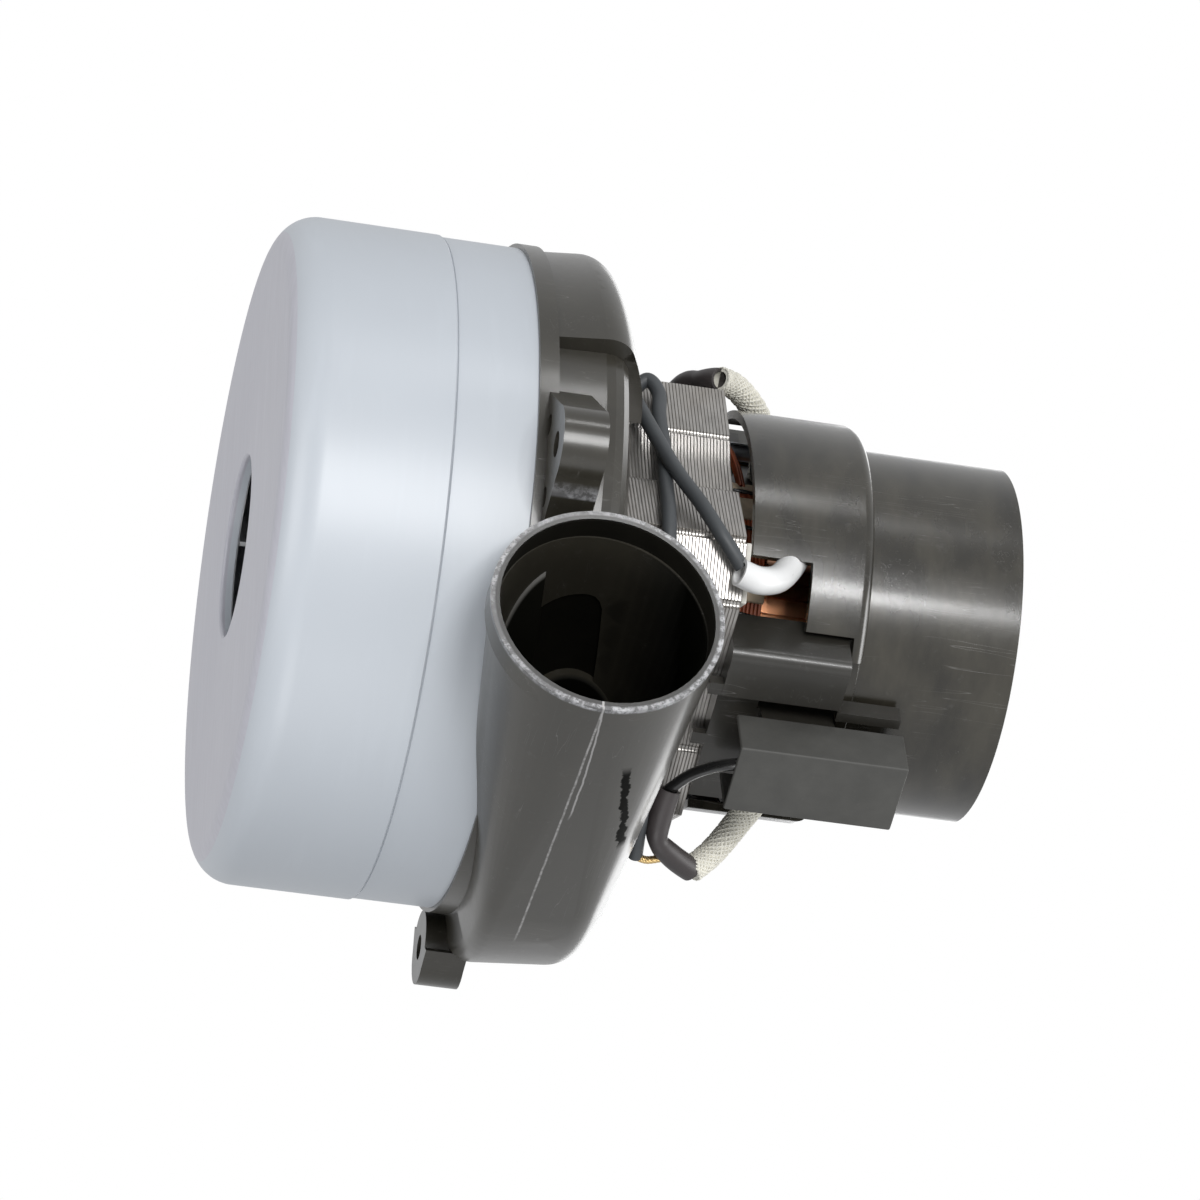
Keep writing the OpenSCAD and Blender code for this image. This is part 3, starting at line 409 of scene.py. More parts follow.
            # Painted shade: the bore and the nick turn near-black, dull and without coat.
            painted_shade = self.inside(s)
            base = s.mix(painted_shade, self.marked(s, base), rgba(0.004, 0.004, 0.003))
            rough = rough + painted_shade * 0.4
            coat = self.coat - painted_shade * self.coat
            s.feed("Metallic", painted_shade)
        s.feed("Base Color", base)
        s.feed("Roughness", rough - 0.08)
        s.feed("Coat Weight", coat)
        s.feed("Coat Roughness", 0.16)
        s.bump(height, 0.00004, 0.5)


@dataclass(frozen=True)
class BareMetal(Finish):
    """Turned, drawn or rolled bare metal."""

    name: str
    colour: Colour
    rough: float
    grain: Grain = Grain.ROUND_SHAFT

    def paint(self, s: Shader) -> None:
        """Adds fine lines round the shaft or along it, and faint stains.

        Args:
            s: The material in the making.
        """
        radius, angle, z = s.turned()
        if self.grain is Grain.ROUND_SHAFT:
            lines = s.noise(30.0, 4.0, 0.6, s.point(radius * 60.0, angle * 0.2, z * 60.0))
        else:
            lines = s.noise(900.0, 3.0, 0.6, s.stretched((1.0, 1.0, 0.08)))
        cloud = s.noise(90.0, 4.0, 0.6)
        s.feed("Base Color", s.shades(cloud.span(0.35, 0.7), self.colour, 0.86, 1.06))
        s.feed("Metallic", 1.0)
        s.feed("Roughness", self.rough + lines * 0.12 + cloud * 0.06)
        s.bump(lines, 0.00002, 0.5)


@dataclass(frozen=True)
class Laminations(Finish):
    """Edges of stacked electrical sheet, with warm stains between bright lines."""

    name: str = "laminated_sheet"
    pitch: float = 0.73 * MM
    bright: Colour = rgba(0.42, 0.405, 0.385)
    dark: Colour = rgba(0.15, 0.135, 0.115)

    def paint(self, s: Shader) -> None:
        """Gives each sheet its own brightness, and darkens the gaps between them.

        Args:
            s: The material in the making.
        """
        _, angle, z = s.turned()
        gap = ((z / self.pitch).fraction() - 0.5).size().span(0.33, 0.5)
        each = s.noise(37.0, 2.0, 0.5, s.point((z / self.pitch).floor() * 0.13, angle * 0.25, 0.0))
        stain = s.noise(70.0, 4.0, 0.6)
        base = s.shades(each.span(0.3, 0.7), self.bright, 0.82, 1.08)
        base = s.mix(stain.span(0.5, 0.75) * 0.35, base, rgba(0.34, 0.30, 0.25))
        s.feed("Base Color", s.mix(gap * 0.75, base, self.dark))
        s.feed("Metallic", 0.85)
        s.feed("Roughness", 0.27 + gap * 0.3 + each * 0.1)
        s.bump(1.0 - gap + each * 0.3, 0.00008, 0.7)


@dataclass(frozen=True)
class EnamelWire(Finish):
    """Red-brown enamelled winding wire, darkened by varnish."""

    name: str
    colour: Colour

    def paint(self, s: Shader) -> None:
        """Adds clouds of varnish under a thin gloss.

        Args:
            s: The material in the making.
        """
        cloud = s.noise(160.0, 4.0, 0.6)
        fine = s.noise(1500.0, 2.0, 0.5)
        s.feed("Base Color", s.shades(cloud.span(0.35, 0.7), self.colour, 0.45, 1.25))
        s.feed("Metallic", 0.2)
        s.feed("Roughness", 0.30 + cloud * 0.16)
        s.feed("Coat Weight", 0.4)
        s.feed("Coat Roughness", 0.2)
        s.bump(fine, 0.00003, 0.4)


@dataclass(frozen=True)
class SoftFinish(Finish):
    """Rubber, shrink tube, resin, paper or carbon: a matt body with a fine grain."""

    name: str
    colour: Colour
    rough: float
    grain_size: float = 900.0
    depth: float = 0.00003
    contrast: float = 0.25
    coat: float = 0.0
    shine: float = 0.5

    def paint(self, s: Shader) -> None:
        """Adds faint clouds and the pale specks of the grain.

        Args:
            s: The material in the making.
        """
        cloud = s.noise(110.0, 4.0, 0.6)
        fine = s.noise(self.grain_size, 3.0, 0.6)
        base = s.shades(cloud.span(0.3, 0.72), self.colour, 1.0 - self.contrast, 1.0 + self.contrast)
        s.feed("Base Color", s.mix(fine.span(0.62, 0.8) * 0.3, base, tint(self.colour, 1.6)))
        s.feed("Roughness", self.rough + cloud * 0.12)
        s.feed("Coat Weight", self.coat)
        s.feed("Specular IOR Level", self.shine)
        s.feed("Coat Roughness", 0.18)
        s.bump(fine + cloud * 0.5, self.depth, 0.6)


@dataclass(frozen=True)
class Weave(Finish):
    """Woven glass braid: a fine cross weave on off-white yarn."""

    name: str = "braid"
    colour: Colour = rgba(0.72, 0.70, 0.62)

    def paint(self, s: Shader) -> None:
        """Adds the shade between the yarns.

        Args:
            s: The material in the making.
        """
        yarn = s.noise(2400.0, 3.0, 0.6)
        cloud = s.noise(120.0, 3.0, 0.5)
        base = s.shades(cloud.span(0.3, 0.7), self.colour, 0.86, 1.12)
        s.feed("Base Color", s.mix(yarn.span(0.55, 0.8) * 0.4, base, tint(self.colour, 0.6)))
        s.feed("Roughness", 0.7 + cloud * 0.1)
        s.bump(yarn, 0.00004, 0.6)


@dataclass
class Finishes:
    """Every material of the motor, made once and shared."""

    made: dict[str, bpy.types.Material] = field(default_factory=dict)

    def __post_init__(self) -> None:
        """Builds all the materials."""
        recipes = [
            SatinPaint(),
            BlackMoulding("housing_black", rgba(0.026, 0.0235, 0.0175), 0.30, 0.35, 0.45, horn_wear_and_shade=True),
            BlackMoulding("bracket_black", rgba(0.020, 0.0185, 0.015), 0.34, 0.30, 0.5),
            # The cover gets painted reflection bands round the shaft.
            BlackMoulding("cover_black", rgba(0.022, 0.0198, 0.0145), 0.22, 0.6, 0.3, 0.4, Grain.ROUND_SHAFT),
            BareMetal("sheet_aluminium", rgba(0.72, 0.73, 0.74), 0.34),
            BareMetal("turned_steel", rgba(0.56, 0.57, 0.58), 0.26),
            BareMetal("zinc_bolt", rgba(0.55, 0.58, 0.63), 0.28),
            BareMetal("drawn_brass", rgba(0.68, 0.50, 0.24), 0.28, Grain.ALONG_SHAFT),
            BareMetal("bar_copper", rgba(0.82, 0.38, 0.20), 0.24, Grain.ALONG_SHAFT),
            Laminations(),
            EnamelWire("winding_wire", rgba(0.40, 0.10, 0.04)),
            EnamelWire("armature_wire", rgba(0.34, 0.11, 0.04)),
            # Painted shade: a near-black, dull lining for the inside of the horn.
            SoftFinish("bore_black", rgba(0.005, 0.0045, 0.003), 0.6, contrast=0.3, shine=0.1),
            SoftFinish("carbon", rgba(0.025, 0.025, 0.027), 0.5, contrast=0.2),
            SoftFinish("fibre_sheet", rgba(0.060, 0.0592, 0.054), 0.50, 1500.0, 0.00002, 0.18),
            SoftFinish("pale_insulation", rgba(0.66, 0.64, 0.58), 0.5, 700.0),
            SoftFinish("cream_tape", rgba(0.62, 0.50, 0.36), 0.6, 700.0, 0.00005, 0.3),
            SoftFinish("lead_rubber", rgba(0.055, 0.060, 0.064), 0.46, 1400.0, 0.00002, 0.15),
            SoftFinish("black_lead", rgba(0.012, 0.012, 0.012), 0.22, 600.0, 0.00001, 0.1, 0.5),
            SoftFinish("shrink_tube", rgba(0.040, 0.034, 0.034), 0.42, 300.0, 0.00006, 0.2),
            SoftFinish("white_sleeve", rgba(0.80, 0.80, 0.79), 0.24, 300.0, 0.00002, 0.05, 0.5),
            SoftFinish("brown_resin", rgba(0.06, 0.028, 0.018), 0.4),
            Weave(),
        ]
        for recipe in recipes:
            self.made[recipe.name] = recipe.make()

    def dress(self, obj: Piece, name: str) -> None:
        """Gives an object one material all over."""
        obj.data.materials.clear()
        obj.data.materials.append(self.made[name])


# Mesh building


def to_object(name: str, bm: bmesh.types.BMesh) -> Piece:
    """Makes a linked object of a bmesh, which is freed.

    Args:
        name: The object's name.
        bm: Its points and faces in metres.

    Returns:
        The object.
    """
    mesh = bpy.data.meshes.new(name)
    bm.to_mesh(mesh)
    bm.free()
    obj = bpy.data.objects.new(name, mesh)
    bpy.context.scene.collection.objects.link(obj)
    return obj


def smooth(obj: Piece, degrees: float) -> Piece:
    """Shades a mesh smooth, but for edges sharper than an angle."""
    obj.data.shade_smooth()
    obj.data.set_sharp_from_angle(angle=math.radians(degrees))
    return obj


def new_object(name: str, verts: Sequence[Sequence[float]], faces: Sequence[Sequence[int]],
               smooth_deg: float = 35.0) -> Piece:
    """An object from points in metres, shaded smooth but for its sharp edges.

    Args:
        name: The object's name.
        verts: Its points.
        faces: Its faces.
        smooth_deg: Edges flatter than this are smooth.

    Returns:
        The linked object.
    """
    draft = bpy.data.meshes.new("draft")
    draft.from_pydata([tuple(v) for v in verts], [], [tuple(f) for f in faces])
    bm = bmesh.new()
    bm.from_mesh(draft)
    bpy.data.meshes.remove(draft)
    bmesh.ops.recalc_face_normals(bm, faces=bm.faces)
    return smooth(to_object(name, bm), smooth_deg)


def skin(rows: int, count: int, closed: bool = False) -> list[tuple[int, ...]]:
    """Faces over rows of points that lie one after another.

    Args:
        rows: Number of rows.
        count: Points in each row, which goes round and meets itself.
        closed: Whether the last row joins the first, so that no caps are needed.

    Returns:
        The faces between the rows, then the caps.
    """
    faces: list[tuple[int, ...]] = []
    for i in range(rows if closed else rows - 1):
        here, there = i * count, (i + 1) % rows * count
        after = [(k + 1) % count for k in range(count)]
        faces += [(here + k, here + n, there + n, there + k) for k, n in enumerate(after)]
    if not closed:
        faces += [tuple(range(count)), tuple(there + k for k in reversed(range(count)))]
    return faces


def join(name: str, parts: list[Piece]) -> Piece:
    """Joins objects into the first of them.

    Args:
        name: The joined object's name.
        parts: The objects, which keep their materials.

    Returns:
        The joined object.
    """
    bpy.context.view_layer.update()
    for part in parts:
        apply_modifiers(part)
    with bpy.context.temp_override(active_object=parts[0], selected_editable_objects=parts, object=parts[0]):
        bpy.ops.object.join()
    parts[0].name = name
    parts[0].data.name = name
    return parts[0]


def apply_modifiers(obj: Piece) -> None:
    """Turns an object's modifiers into plain mesh.

    Args:
        obj: The object.
    """
    if not obj.modifiers:
        return
    graph = bpy.context.evaluated_depsgraph_get()
    mesh = bpy.data.meshes.new_from_object(obj.evaluated_get(graph))
    obj.modifiers.clear()
    obj.data = mesh


def round_edges(obj: Piece, width_mm: float, segments: int, degrees: float) -> None:
    """Adds a modifier that rounds an object's edges.

    Args:
        obj: The object.
        width_mm: Width of the rounding.
        segments: Steps in it.
        degrees: Edges sharper than this are rounded.
    """
    edge = obj.modifiers.new("edge", "BEVEL")
    edge.width = width_mm * MM
    edge.segments = segments
    edge.limit_method = "ANGLE"
    edge.angle_limit = math.radians(degrees)


def soft_edges(obj: Piece, width_mm: float) -> None:
    """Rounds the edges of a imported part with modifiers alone, which keep its own points.

    Args:
        obj: The part.
        width_mm: Width of the rounding.
    """
    weld = obj.modifiers.new("weld", "WELD")
    weld.merge_threshold = 0.000002
    flat = obj.modifiers.new("flat", "DECIMATE")
    flat.decimate_type = "DISSOLVE"
    flat.angle_limit = math.radians(0.6)
    round_edges(obj, width_mm, 2, 35.0)
    obj.modifiers.new("normals", "WEIGHTED_NORMAL")


def lathe(name: str, profile: Sequence[Pair], steps: int) -> Piece:
    """A body turned about the shaft from a closed outline.

    Args:
        name: The object's name.
        profile: Radius and height of each point in millimetres.
        steps: Divisions round the shaft.

    Returns:
        The body.
    """
    verts: list[Point] = []
    for i in range(steps):
        angle = 2 * math.pi * i / steps
        verts += [(r * MM * math.cos(angle), r * MM * math.sin(angle), z * MM) for r, z in profile]
    return new_object(name, verts, skin(steps, len(profile), True), 30.0)


def arc(centre: Pair, r: float, start: float, end: float, steps: int) -> list[Pair]:
    """Points of an arc, between two directions in degrees."""
    turns = [math.radians(start + (end - start) * i / steps) for i in range(steps + 1)]
    return [(centre[0] + r * math.cos(turn), centre[1] + r * math.sin(turn)) for turn in turns]


def spline(points: Sequence[Sequence[float]], per_gap: int) -> list[Vector]:
    """A smooth path through points, in metres, from points in millimetres.

    Args:
        points: The points the path goes through.
        per_gap: Steps between two of them.

    Returns:
        The path.
    """
    p = [Vector(q) * MM for q in points]
    path: list[Vector] = []
    for a, b, c, d in zip([p[0]] + p, p, p[1:], p[2:] + [p[-1]]):
        for k in range(per_gap):
            t = k / per_gap
            start = 2 * b + (c - a) * t
            bend = (2 * a - 5 * b + 4 * c - d) * t * t
            path.append(0.5 * (start + bend + (3 * b - a - 3 * c + d) * t ** 3))
    return path + [p[-1]]


def frames_along(path: Sequence[Vector]) -> list[tuple[Vector, Vector, Vector]]:
    """Centre and two side directions of each ring of a tube, without twist.

    Args:
        path: The tube's centre line.

    Returns:
        Centre and directions for each point of the path.
    """
    out: list[tuple[Vector, Vector, Vector]] = []
    side = Vector((0.3, 0.2, 1.0))
    for i, centre in enumerate(path):
        way = (path[min(i + 1, len(path) - 1)] - path[max(i - 1, 0)]).normalized()
        side = (side - way * side.dot(way)).normalized()
        out.append((centre, side, way.cross(side)))
    return out


def tube(name: str, path: Sequence[Vector], radius_mm: float | Callable[[float], float], sides: int,
         inner_mm: float = 0.0) -> Piece:
    """A tube swept along a path, with rounded ends, or a hollow mouth.

    Args:
        name: The object's name.
        path: The centre line, in metres.
        radius_mm: The radius, or a function of the share of the length.
        sides: Divisions round it.
        inner_mm: Radius of the bore that shows at the ends, or 0 for a solid.

    Returns:
        The tube.
    """
    rings = frames_along(path)
    radius = radius_mm if callable(radius_mm) else (lambda share: radius_mm)
    ends = []
    for (centre, u, v), inwards, r in ((rings[0], path[1] - path[0], radius(0.0)),
                                       (rings[-1], path[-2] - path[-1], radius(1.0))):
        if inner_mm:
            ends.append([(centre + inwards.normalized() * r * MM, u, v, inner_mm), (centre, u, v, inner_mm)])
        else:
            ends.append([(centre, u, v, r * 0.75)])
    hoops = [(*ring, radius(i / (len(rings) - 1))) for i, ring in enumerate(rings)]
    hoops = ends[0] + hoops + ends[1][::-1]
    turns = [2 * math.pi * k / sides for k in range(sides)]
    verts = [centre + (u * math.cos(t) + v * math.sin(t)) * r * MM
             for centre, u, v, r in hoops for t in turns]
    return new_object(name, verts, skin(len(hoops), sides), 45.0)


def polar(radius: float, degrees: float, z: float) -> Point:
    """A point in millimetres from radius, direction and height."""
    return (radius * math.cos(math.radians(degrees)), radius * math.sin(math.radians(degrees)), z)


def from_brush(rho: float, tau: float, z: float, brush_deg: float) -> Point:
    """A point in millimetres from its place along and beside a brush."""
    c, s = math.cos(math.radians(brush_deg)), math.sin(math.radians(brush_deg))
    return (rho * c - tau * s, rho * s + tau * c, z)


def boxed(share: float) -> float:
    """A sine or cosine pushed outwards, which turns a circle into a rounded box."""
    return math.copysign(abs(share) ** 0.5, share)


def section_loops(obj: Piece, z_mm: float) -> list[list[Vector]]:
    """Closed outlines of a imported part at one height, each with the material on its left.

    Args:
        obj: The part.
        z_mm: The height of the section.

    Returns:
        The outlines in millimetres, the outer one first.
    """
    bm = bmesh.new()
    bm.from_mesh(obj.data)
    bmesh.ops.remove_doubles(bm, verts=bm.verts, dist=0.000005)
    bmesh.ops.bisect_plane(bm, geom=bm.verts[:] + bm.edges[:] + bm.faces[:], dist=1e-7,
                           plane_co=(0, 0, z_mm * MM), plane_no=(0, 0, 1), clear_outer=True, clear_inner=True)
    loops: list[list[Vector]] = []
    free = set(bm.verts)

    def following(vert: bmesh.types.BMVert) -> bmesh.types.BMVert | None:
        """The next point of an outline that isn't taken yet."""
        return next((e.other_vert(vert) for e in vert.link_edges if e.other_vert(vert) in free), None)

    def area(loop: list[Vector]) -> float:
        """The area inside an outline, positive where it runs to the left."""
        return 0.5 * sum(a.x * b.y - a.y * b.x for a, b in zip(loop, loop[1:] + loop[:1]))

    while free:
        chain = [free.pop()]
        step = following(chain[0])
        while step is not None:
            chain.append(step)
            free.discard(step)
            step = following(step)
        if len(chain) > 2:
            loops.append([Vector((v.co.x, v.co.y)) / MM for v in chain])
    bm.free()
    loops.sort(key=lambda loop: -abs(area(loop)))
    return [loop if (area(loop) > 0) == (i == 0) else loop[::-1] for i, loop in enumerate(loops)]


def shrunk(loop: Sequence[Vector], depth: float) -> list[Vector]:
    """An outline moved to its left, into the material.

    Args:
        loop: The outline in millimetres.
        depth: How far it moves.

    Returns:
        The moved outline.
    """
    out: list[Vector] = []
    for i, here in enumerate(loop):
        before, after = (here - loop[i - 1]), (loop[(i + 1) % len(loop)] - here)
        side = Vector((-before.y, before.x)).normalized() + Vector((-after.y, after.x)).normalized()
        out.append(here + side.normalized() * depth if side.length > 0.2 else here.copy())
    return out


def plate_stack(name: str, loops: list[list[Vector]], z_mm: float, height: float, plates: int,
                groove: float) -> Piece:
    """Stacked sheets of one outline, with a fine groove between each two.

    Args:
        name: The object's name.
        loops: The outlines in millimetres, the outer one first.
        z_mm: Height of the lowest face.
        height: Height of the stack.
        plates: Number of sheets shown.
        groove: Depth of the grooves.

    Returns:
        The stack.
    """
    pitch = height / plates
    lip, root = 0.10 * pitch, 0.04 * pitch
    levels: list[Pair] = []
    for k in range(plates):
        low, high = z_mm + k * pitch, z_mm + (k + 1) * pitch
        levels += [(low + (lip if k else 0.0), 0.0), (high - (lip if k < plates - 1 else 0.0), 0.0)]
        if k < plates - 1:
            levels += [(high - root, groove), (high + root, groove)]
    bm = bmesh.new()
    ends: list[bmesh.types.BMEdge] = []
    for loop in loops:
        inner = shrunk(loop, groove)
        rows = [[bm.verts.new((q.x * MM, q.y * MM, z * MM)) for q in (inner if depth else loop)]
                for z, depth in levels]
        after = [(k + 1) % len(loop) for k in range(len(loop))]
        for low_row, high_row in zip(rows, rows[1:]):
            for k, n in enumerate(after):
                bm.faces.new((low_row[k], low_row[n], high_row[n], high_row[k]))
        for row in (rows[0], rows[-1]):
            ends += [bm.edges.get((row[k], row[n])) for k, n in enumerate(after)]
    for z in (levels[0][0], levels[-1][0]):
        rim = [e for e in ends if abs(e.verts[0].co.z - z * MM) < 1e-7]
        bmesh.ops.triangle_fill(bm, use_beauty=True, use_dissolve=False, edges=rim)
    bmesh.ops.recalc_face_normals(bm, faces=bm.faces)
    return smooth(to_object(name, bm), 25.0)


# Sub-assemblies


@dataclass
class SubAssembly:
    """What every sub-assembly shares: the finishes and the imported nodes."""

    finishes: Finishes
    nodes: dict[str, Piece]

    def put(self, obj: Piece, body: str, finish: str, slot: str, *replaced: str) -> None:
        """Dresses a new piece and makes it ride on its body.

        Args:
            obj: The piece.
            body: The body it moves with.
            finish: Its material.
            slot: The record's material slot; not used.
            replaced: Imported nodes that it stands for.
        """
        self.finishes.dress(obj, finish)
        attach(obj, body)
        if replaced:
            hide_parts(*replaced)
        log.info("%s: %d faces", obj.name, len(obj.data.polygons))

    def keep(self, node: str, finish: str, smooth_deg: float = 30.0) -> Piece:
        """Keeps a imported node's shape and gives it a better material."""
        self.finishes.dress(self.nodes[node], finish)
        return smooth(self.nodes[node], smooth_deg)


@dataclass
class FanCasing(SubAssembly):
    """The two pressed cans round the fan stages."""

    shell_r: float = 72.4
    rear_r: float = 72.0
    sheet: float = 0.9
    neck_z: float = 24.5
    front_h: float = 34.2
    casing_h: float = 51.4
    edge_r: float = 8.5
    inlet_r: float = 19.66
    collar_h: float = 2.6
    lip: float = 0.8
    chamfer: float = 0.3
    steps: int = 288

    def build(self) -> None:
        """Turns both cans."""
        t, r, edge, inlet, lip = self.sheet, self.shell_r, self.edge_r, self.inlet_r, self.lip
        outer = arc((r - edge, edge), edge, -90, 0, 24)
        outer += [(r, self.front_h - self.chamfer), (r - self.chamfer, self.front_h), (r - t, self.front_h)]
        inner = arc((r - edge, edge), edge - t, 0, -90, 24)
        inner += [(inlet + t + 0.4, t), (inlet + t, t + 0.4),
                  (inlet + t, self.collar_h), (inlet, self.collar_h)]
        inner += arc((inlet + lip, lip), lip, 180, 270, 8)
        front = lathe("front_can_shell", outer + inner, self.steps)
        self.put(front, "housing", "can_paint", "can_paint", "front_fan_can")
        rear_r, neck = self.rear_r, r - t - 0.1
        body = [(neck - t, self.neck_z), (neck, self.neck_z), (neck, self.front_h),
                (rear_r - self.chamfer, self.front_h), (rear_r, self.front_h + self.chamfer),
                (rear_r, self.casing_h), (rear_r - t, self.casing_h), (rear_r - t, self.front_h + t),
                (neck - t, self.front_h + t)]
        rear = lathe("rear_can_shell", body, self.steps)
        self.put(rear, "housing", "can_paint", "can_paint", "rear_fan_can")


@dataclass
class Scroll(SubAssembly):
    """The black housing with the scroll, horn and lugs."""

    mouth: Point = (76.45, 58.0, 65.4)
    mouth_r: float = 24.06
    bore_r: float = 22.1
    straight: float = 6.0
    casing_r: float = 72.6
    casing_low: float = 20.0
    casing_top: float = 51.6
    blend_from: float = 84.0
    blend_to: float = 112.0
    blend_r: float = 62.0
    blend_z: float = 53.6
    stand_off: float = 1.0012

    def ring(self, x: float, radius: float) -> list[Vector]:
        """Points of a circle square to the mouth's axis, in metres."""
        _, y, z = self.mouth
        turns = [2 * math.pi / 96 * k for k in range(96)]
        return [Vector((x, y + radius * math.cos(turn), z + radius * math.sin(turn))) * MM for turn in turns]

    def horn_skin(self, housing: Piece) -> Piece:
        """The horn's outer surface, which runs straight from the mouth into the scroll.

        Args:
            housing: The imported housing, whose scroll the surface meets.

        Returns:
            The surface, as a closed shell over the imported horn.
        """
        seen = []
        for v in housing.data.vertices:
            x, y, z = (c / MM for c in v.co)
            direction = math.degrees(math.atan2(y, x))
            beyond = math.hypot(x, y) > self.blend_r and z > self.blend_z
            if beyond and self.blend_from < direction < self.blend_to:
                seen.append(Vector((x * self.stand_off, y * self.stand_off, z)) * MM)
        bm = bmesh.new()
        for q in self.ring(self.mouth[0], self.mouth_r) + seen:
            bm.verts.new(q)
        hull = bmesh.ops.convex_hull(bm, input=bm.verts[:])
        spare = {g for g in hull["geom_interior"] + hull["geom_unused"] if isinstance(g, bmesh.types.BMVert)}
        bmesh.ops.delete(bm, geom=list(spare), context="VERTS")
        bmesh.ops.dissolve_limit(bm, angle_limit=math.radians(0.3), verts=bm.verts[:], edges=bm.edges[:])
        obj = to_object("horn_skin", bm)
        outline = [(0.01, self.casing_low), (self.casing_r, self.casing_low),
                   (self.casing_r, self.casing_top), (0.01, self.casing_top)]
        bore = self.bore_cone("bore_cut", 1.2, self.mouth[0] + 2.0, 15.0)
        for cutter in (lathe("casing_cut", outline, 256), bore):
            cut = obj.modifiers.new("cut", "BOOLEAN")
            cut.operation = "DIFFERENCE"
            cut.solver = "EXACT"
            cut.object = cutter
            bpy.context.view_layer.update()
            apply_modifiers(obj)
            bpy.data.objects.remove(cutter, do_unlink=True)
        return smooth(obj, 20.0)

    def bore_cone(self, name: str, margin: float, x_from: float, x_to: float) -> Piece:
        """A closed cone inside the horn, from the mouth inwards.

        Args:
            name: The object's name.
            margin: What its radius has over the bore's.
            x_from: Where it starts, at the mouth.
            x_to: Where it ends, inside.

        Returns:
            The cone.
        """
        knee = self.mouth[0] - self.straight
        rings = []
        for x in (x_from, knee, x_to):
            rings.append(self.ring(x, self.bore_r + margin - BORE_TAPER * max(0.0, knee - x)))
        rings[2] = [q + Vector((0.0, *BORE_LEAN)) * (knee - x_to) * MM for q in rings[2]]
        return new_object(name, [q for ring in rings for q in ring], skin(3, len(rings[0])))

    def bore_liner(self) -> Piece:
        """The smooth bore of the horn, an open tube that narrows from the mouth inwards; dressed near-black,
        it is painted shade inside the horn.
        """
        cone = self.bore_cone("horn_bore", -0.08, self.mouth[0] - 0.4, -6.0)
        bm = bmesh.new()
        bm.from_mesh(cone.data)
        bmesh.ops.delete(bm, geom=[f for f in bm.faces if len(f.verts) > 8], context="FACES_ONLY")
        bm.to_mesh(cone.data)
        bm.free()
        wall = cone.modifiers.new("wall", "SOLIDIFY")
        wall.thickness = 0.12 * MM
        wall.offset = 1.0
        apply_modifiers(cone)
        return smooth(cone, 30.0)

    def build(self) -> None:
        """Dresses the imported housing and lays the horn's skin over it."""
        housing = self.keep("scroll_housing", "housing_black", 28.0)
        self.put(self.horn_skin(housing), "housing", "housing_black", "black_plastic")
        # The liner is near-black: painted shade inside the horn.
        self.put(self.bore_liner(), "housing", "bore_black", "black_plastic")


@dataclass
class FanStages(SubAssembly):
    """Impellers, guide plates and the shaft's stack."""

    sheet_parts: Sequence[str] = ("first_impeller", "second_impeller", "stage_guide_plate")
    turned_parts: Sequence[str] = ("rotor_shaft", "fan_spacers", "fan_washer", "fan_nut",
                                   "bearing_outer_races", "bearing_inner_races", "fan_retainer")

    def build(self) -> None:
        """Dresses the inner metal parts."""
        for name in self.sheet_parts:
            self.keep(name, "sheet_aluminium")
        self.keep("diffuser_plate", "housing_black")
        for name in self.turned_parts:
            self.keep(name, "turned_steel")
        self.keep("cooling_fan", "bracket_black")


@dataclass
class Armature(SubAssembly):
    """The turning core, its winding and the commutator."""

    slots: int = 22
    head_low: float = 101.5
    head_high: float = 109.5
    head_r: float = 18.6
    head_sweep: float = 70.0
    hook_z: float = 112.3
    wire_r: float = 0.42

    def end_turns(self) -> Piece:
        """Wires that cross over each other on the winding's head and rise to the hooks."""
        wires = []
        for k in range(self.slots):
            for lean, shift in ((1, 0.0), (-1, 0.35)):
                start = 360.0 * (k + shift) / self.slots
                route = []
                for i in range(9):
                    t = i / 8
                    bulge = math.sin(math.pi * min(1.0, t * 1.1))
                    radius = self.head_r - 1.2 + 1.1 * bulge - 5.0 * max(0.0, t - 0.75)
                    height = self.head_low + 0.4 + (self.head_high - self.head_low - 0.8) * t
                    route.append(polar(radius - 0.5, start + lean * self.head_sweep * t, height))
                wires.append(tube("head_wire", spline(route, 4), self.wire_r, 6))
            at = 360.0 * k / self.slots
            riser = [polar(13.0, at - 6, self.head_high - 0.8), polar(13.6, at, self.head_high + 0.8),
                     polar(13.9, at + 4, self.hook_z + 0.3)]
            wires.append(tube("riser_wire", spline(riser, 5), self.wire_r, 6))
        return join("armature_end_turns", wires)

    def build(self) -> None:
        """Dresses the armature's parts."""
        self.keep("armature_core", "laminated_sheet")
        self.keep("armature_winding", "armature_wire")
        self.put(self.end_turns(), "rotor", "armature_wire", "copper_wire")
        self.keep("commutator", "bar_copper")
        self.keep("commutator_hooks", "bar_copper")
        self.keep("commutator_hub", "brown_resin")


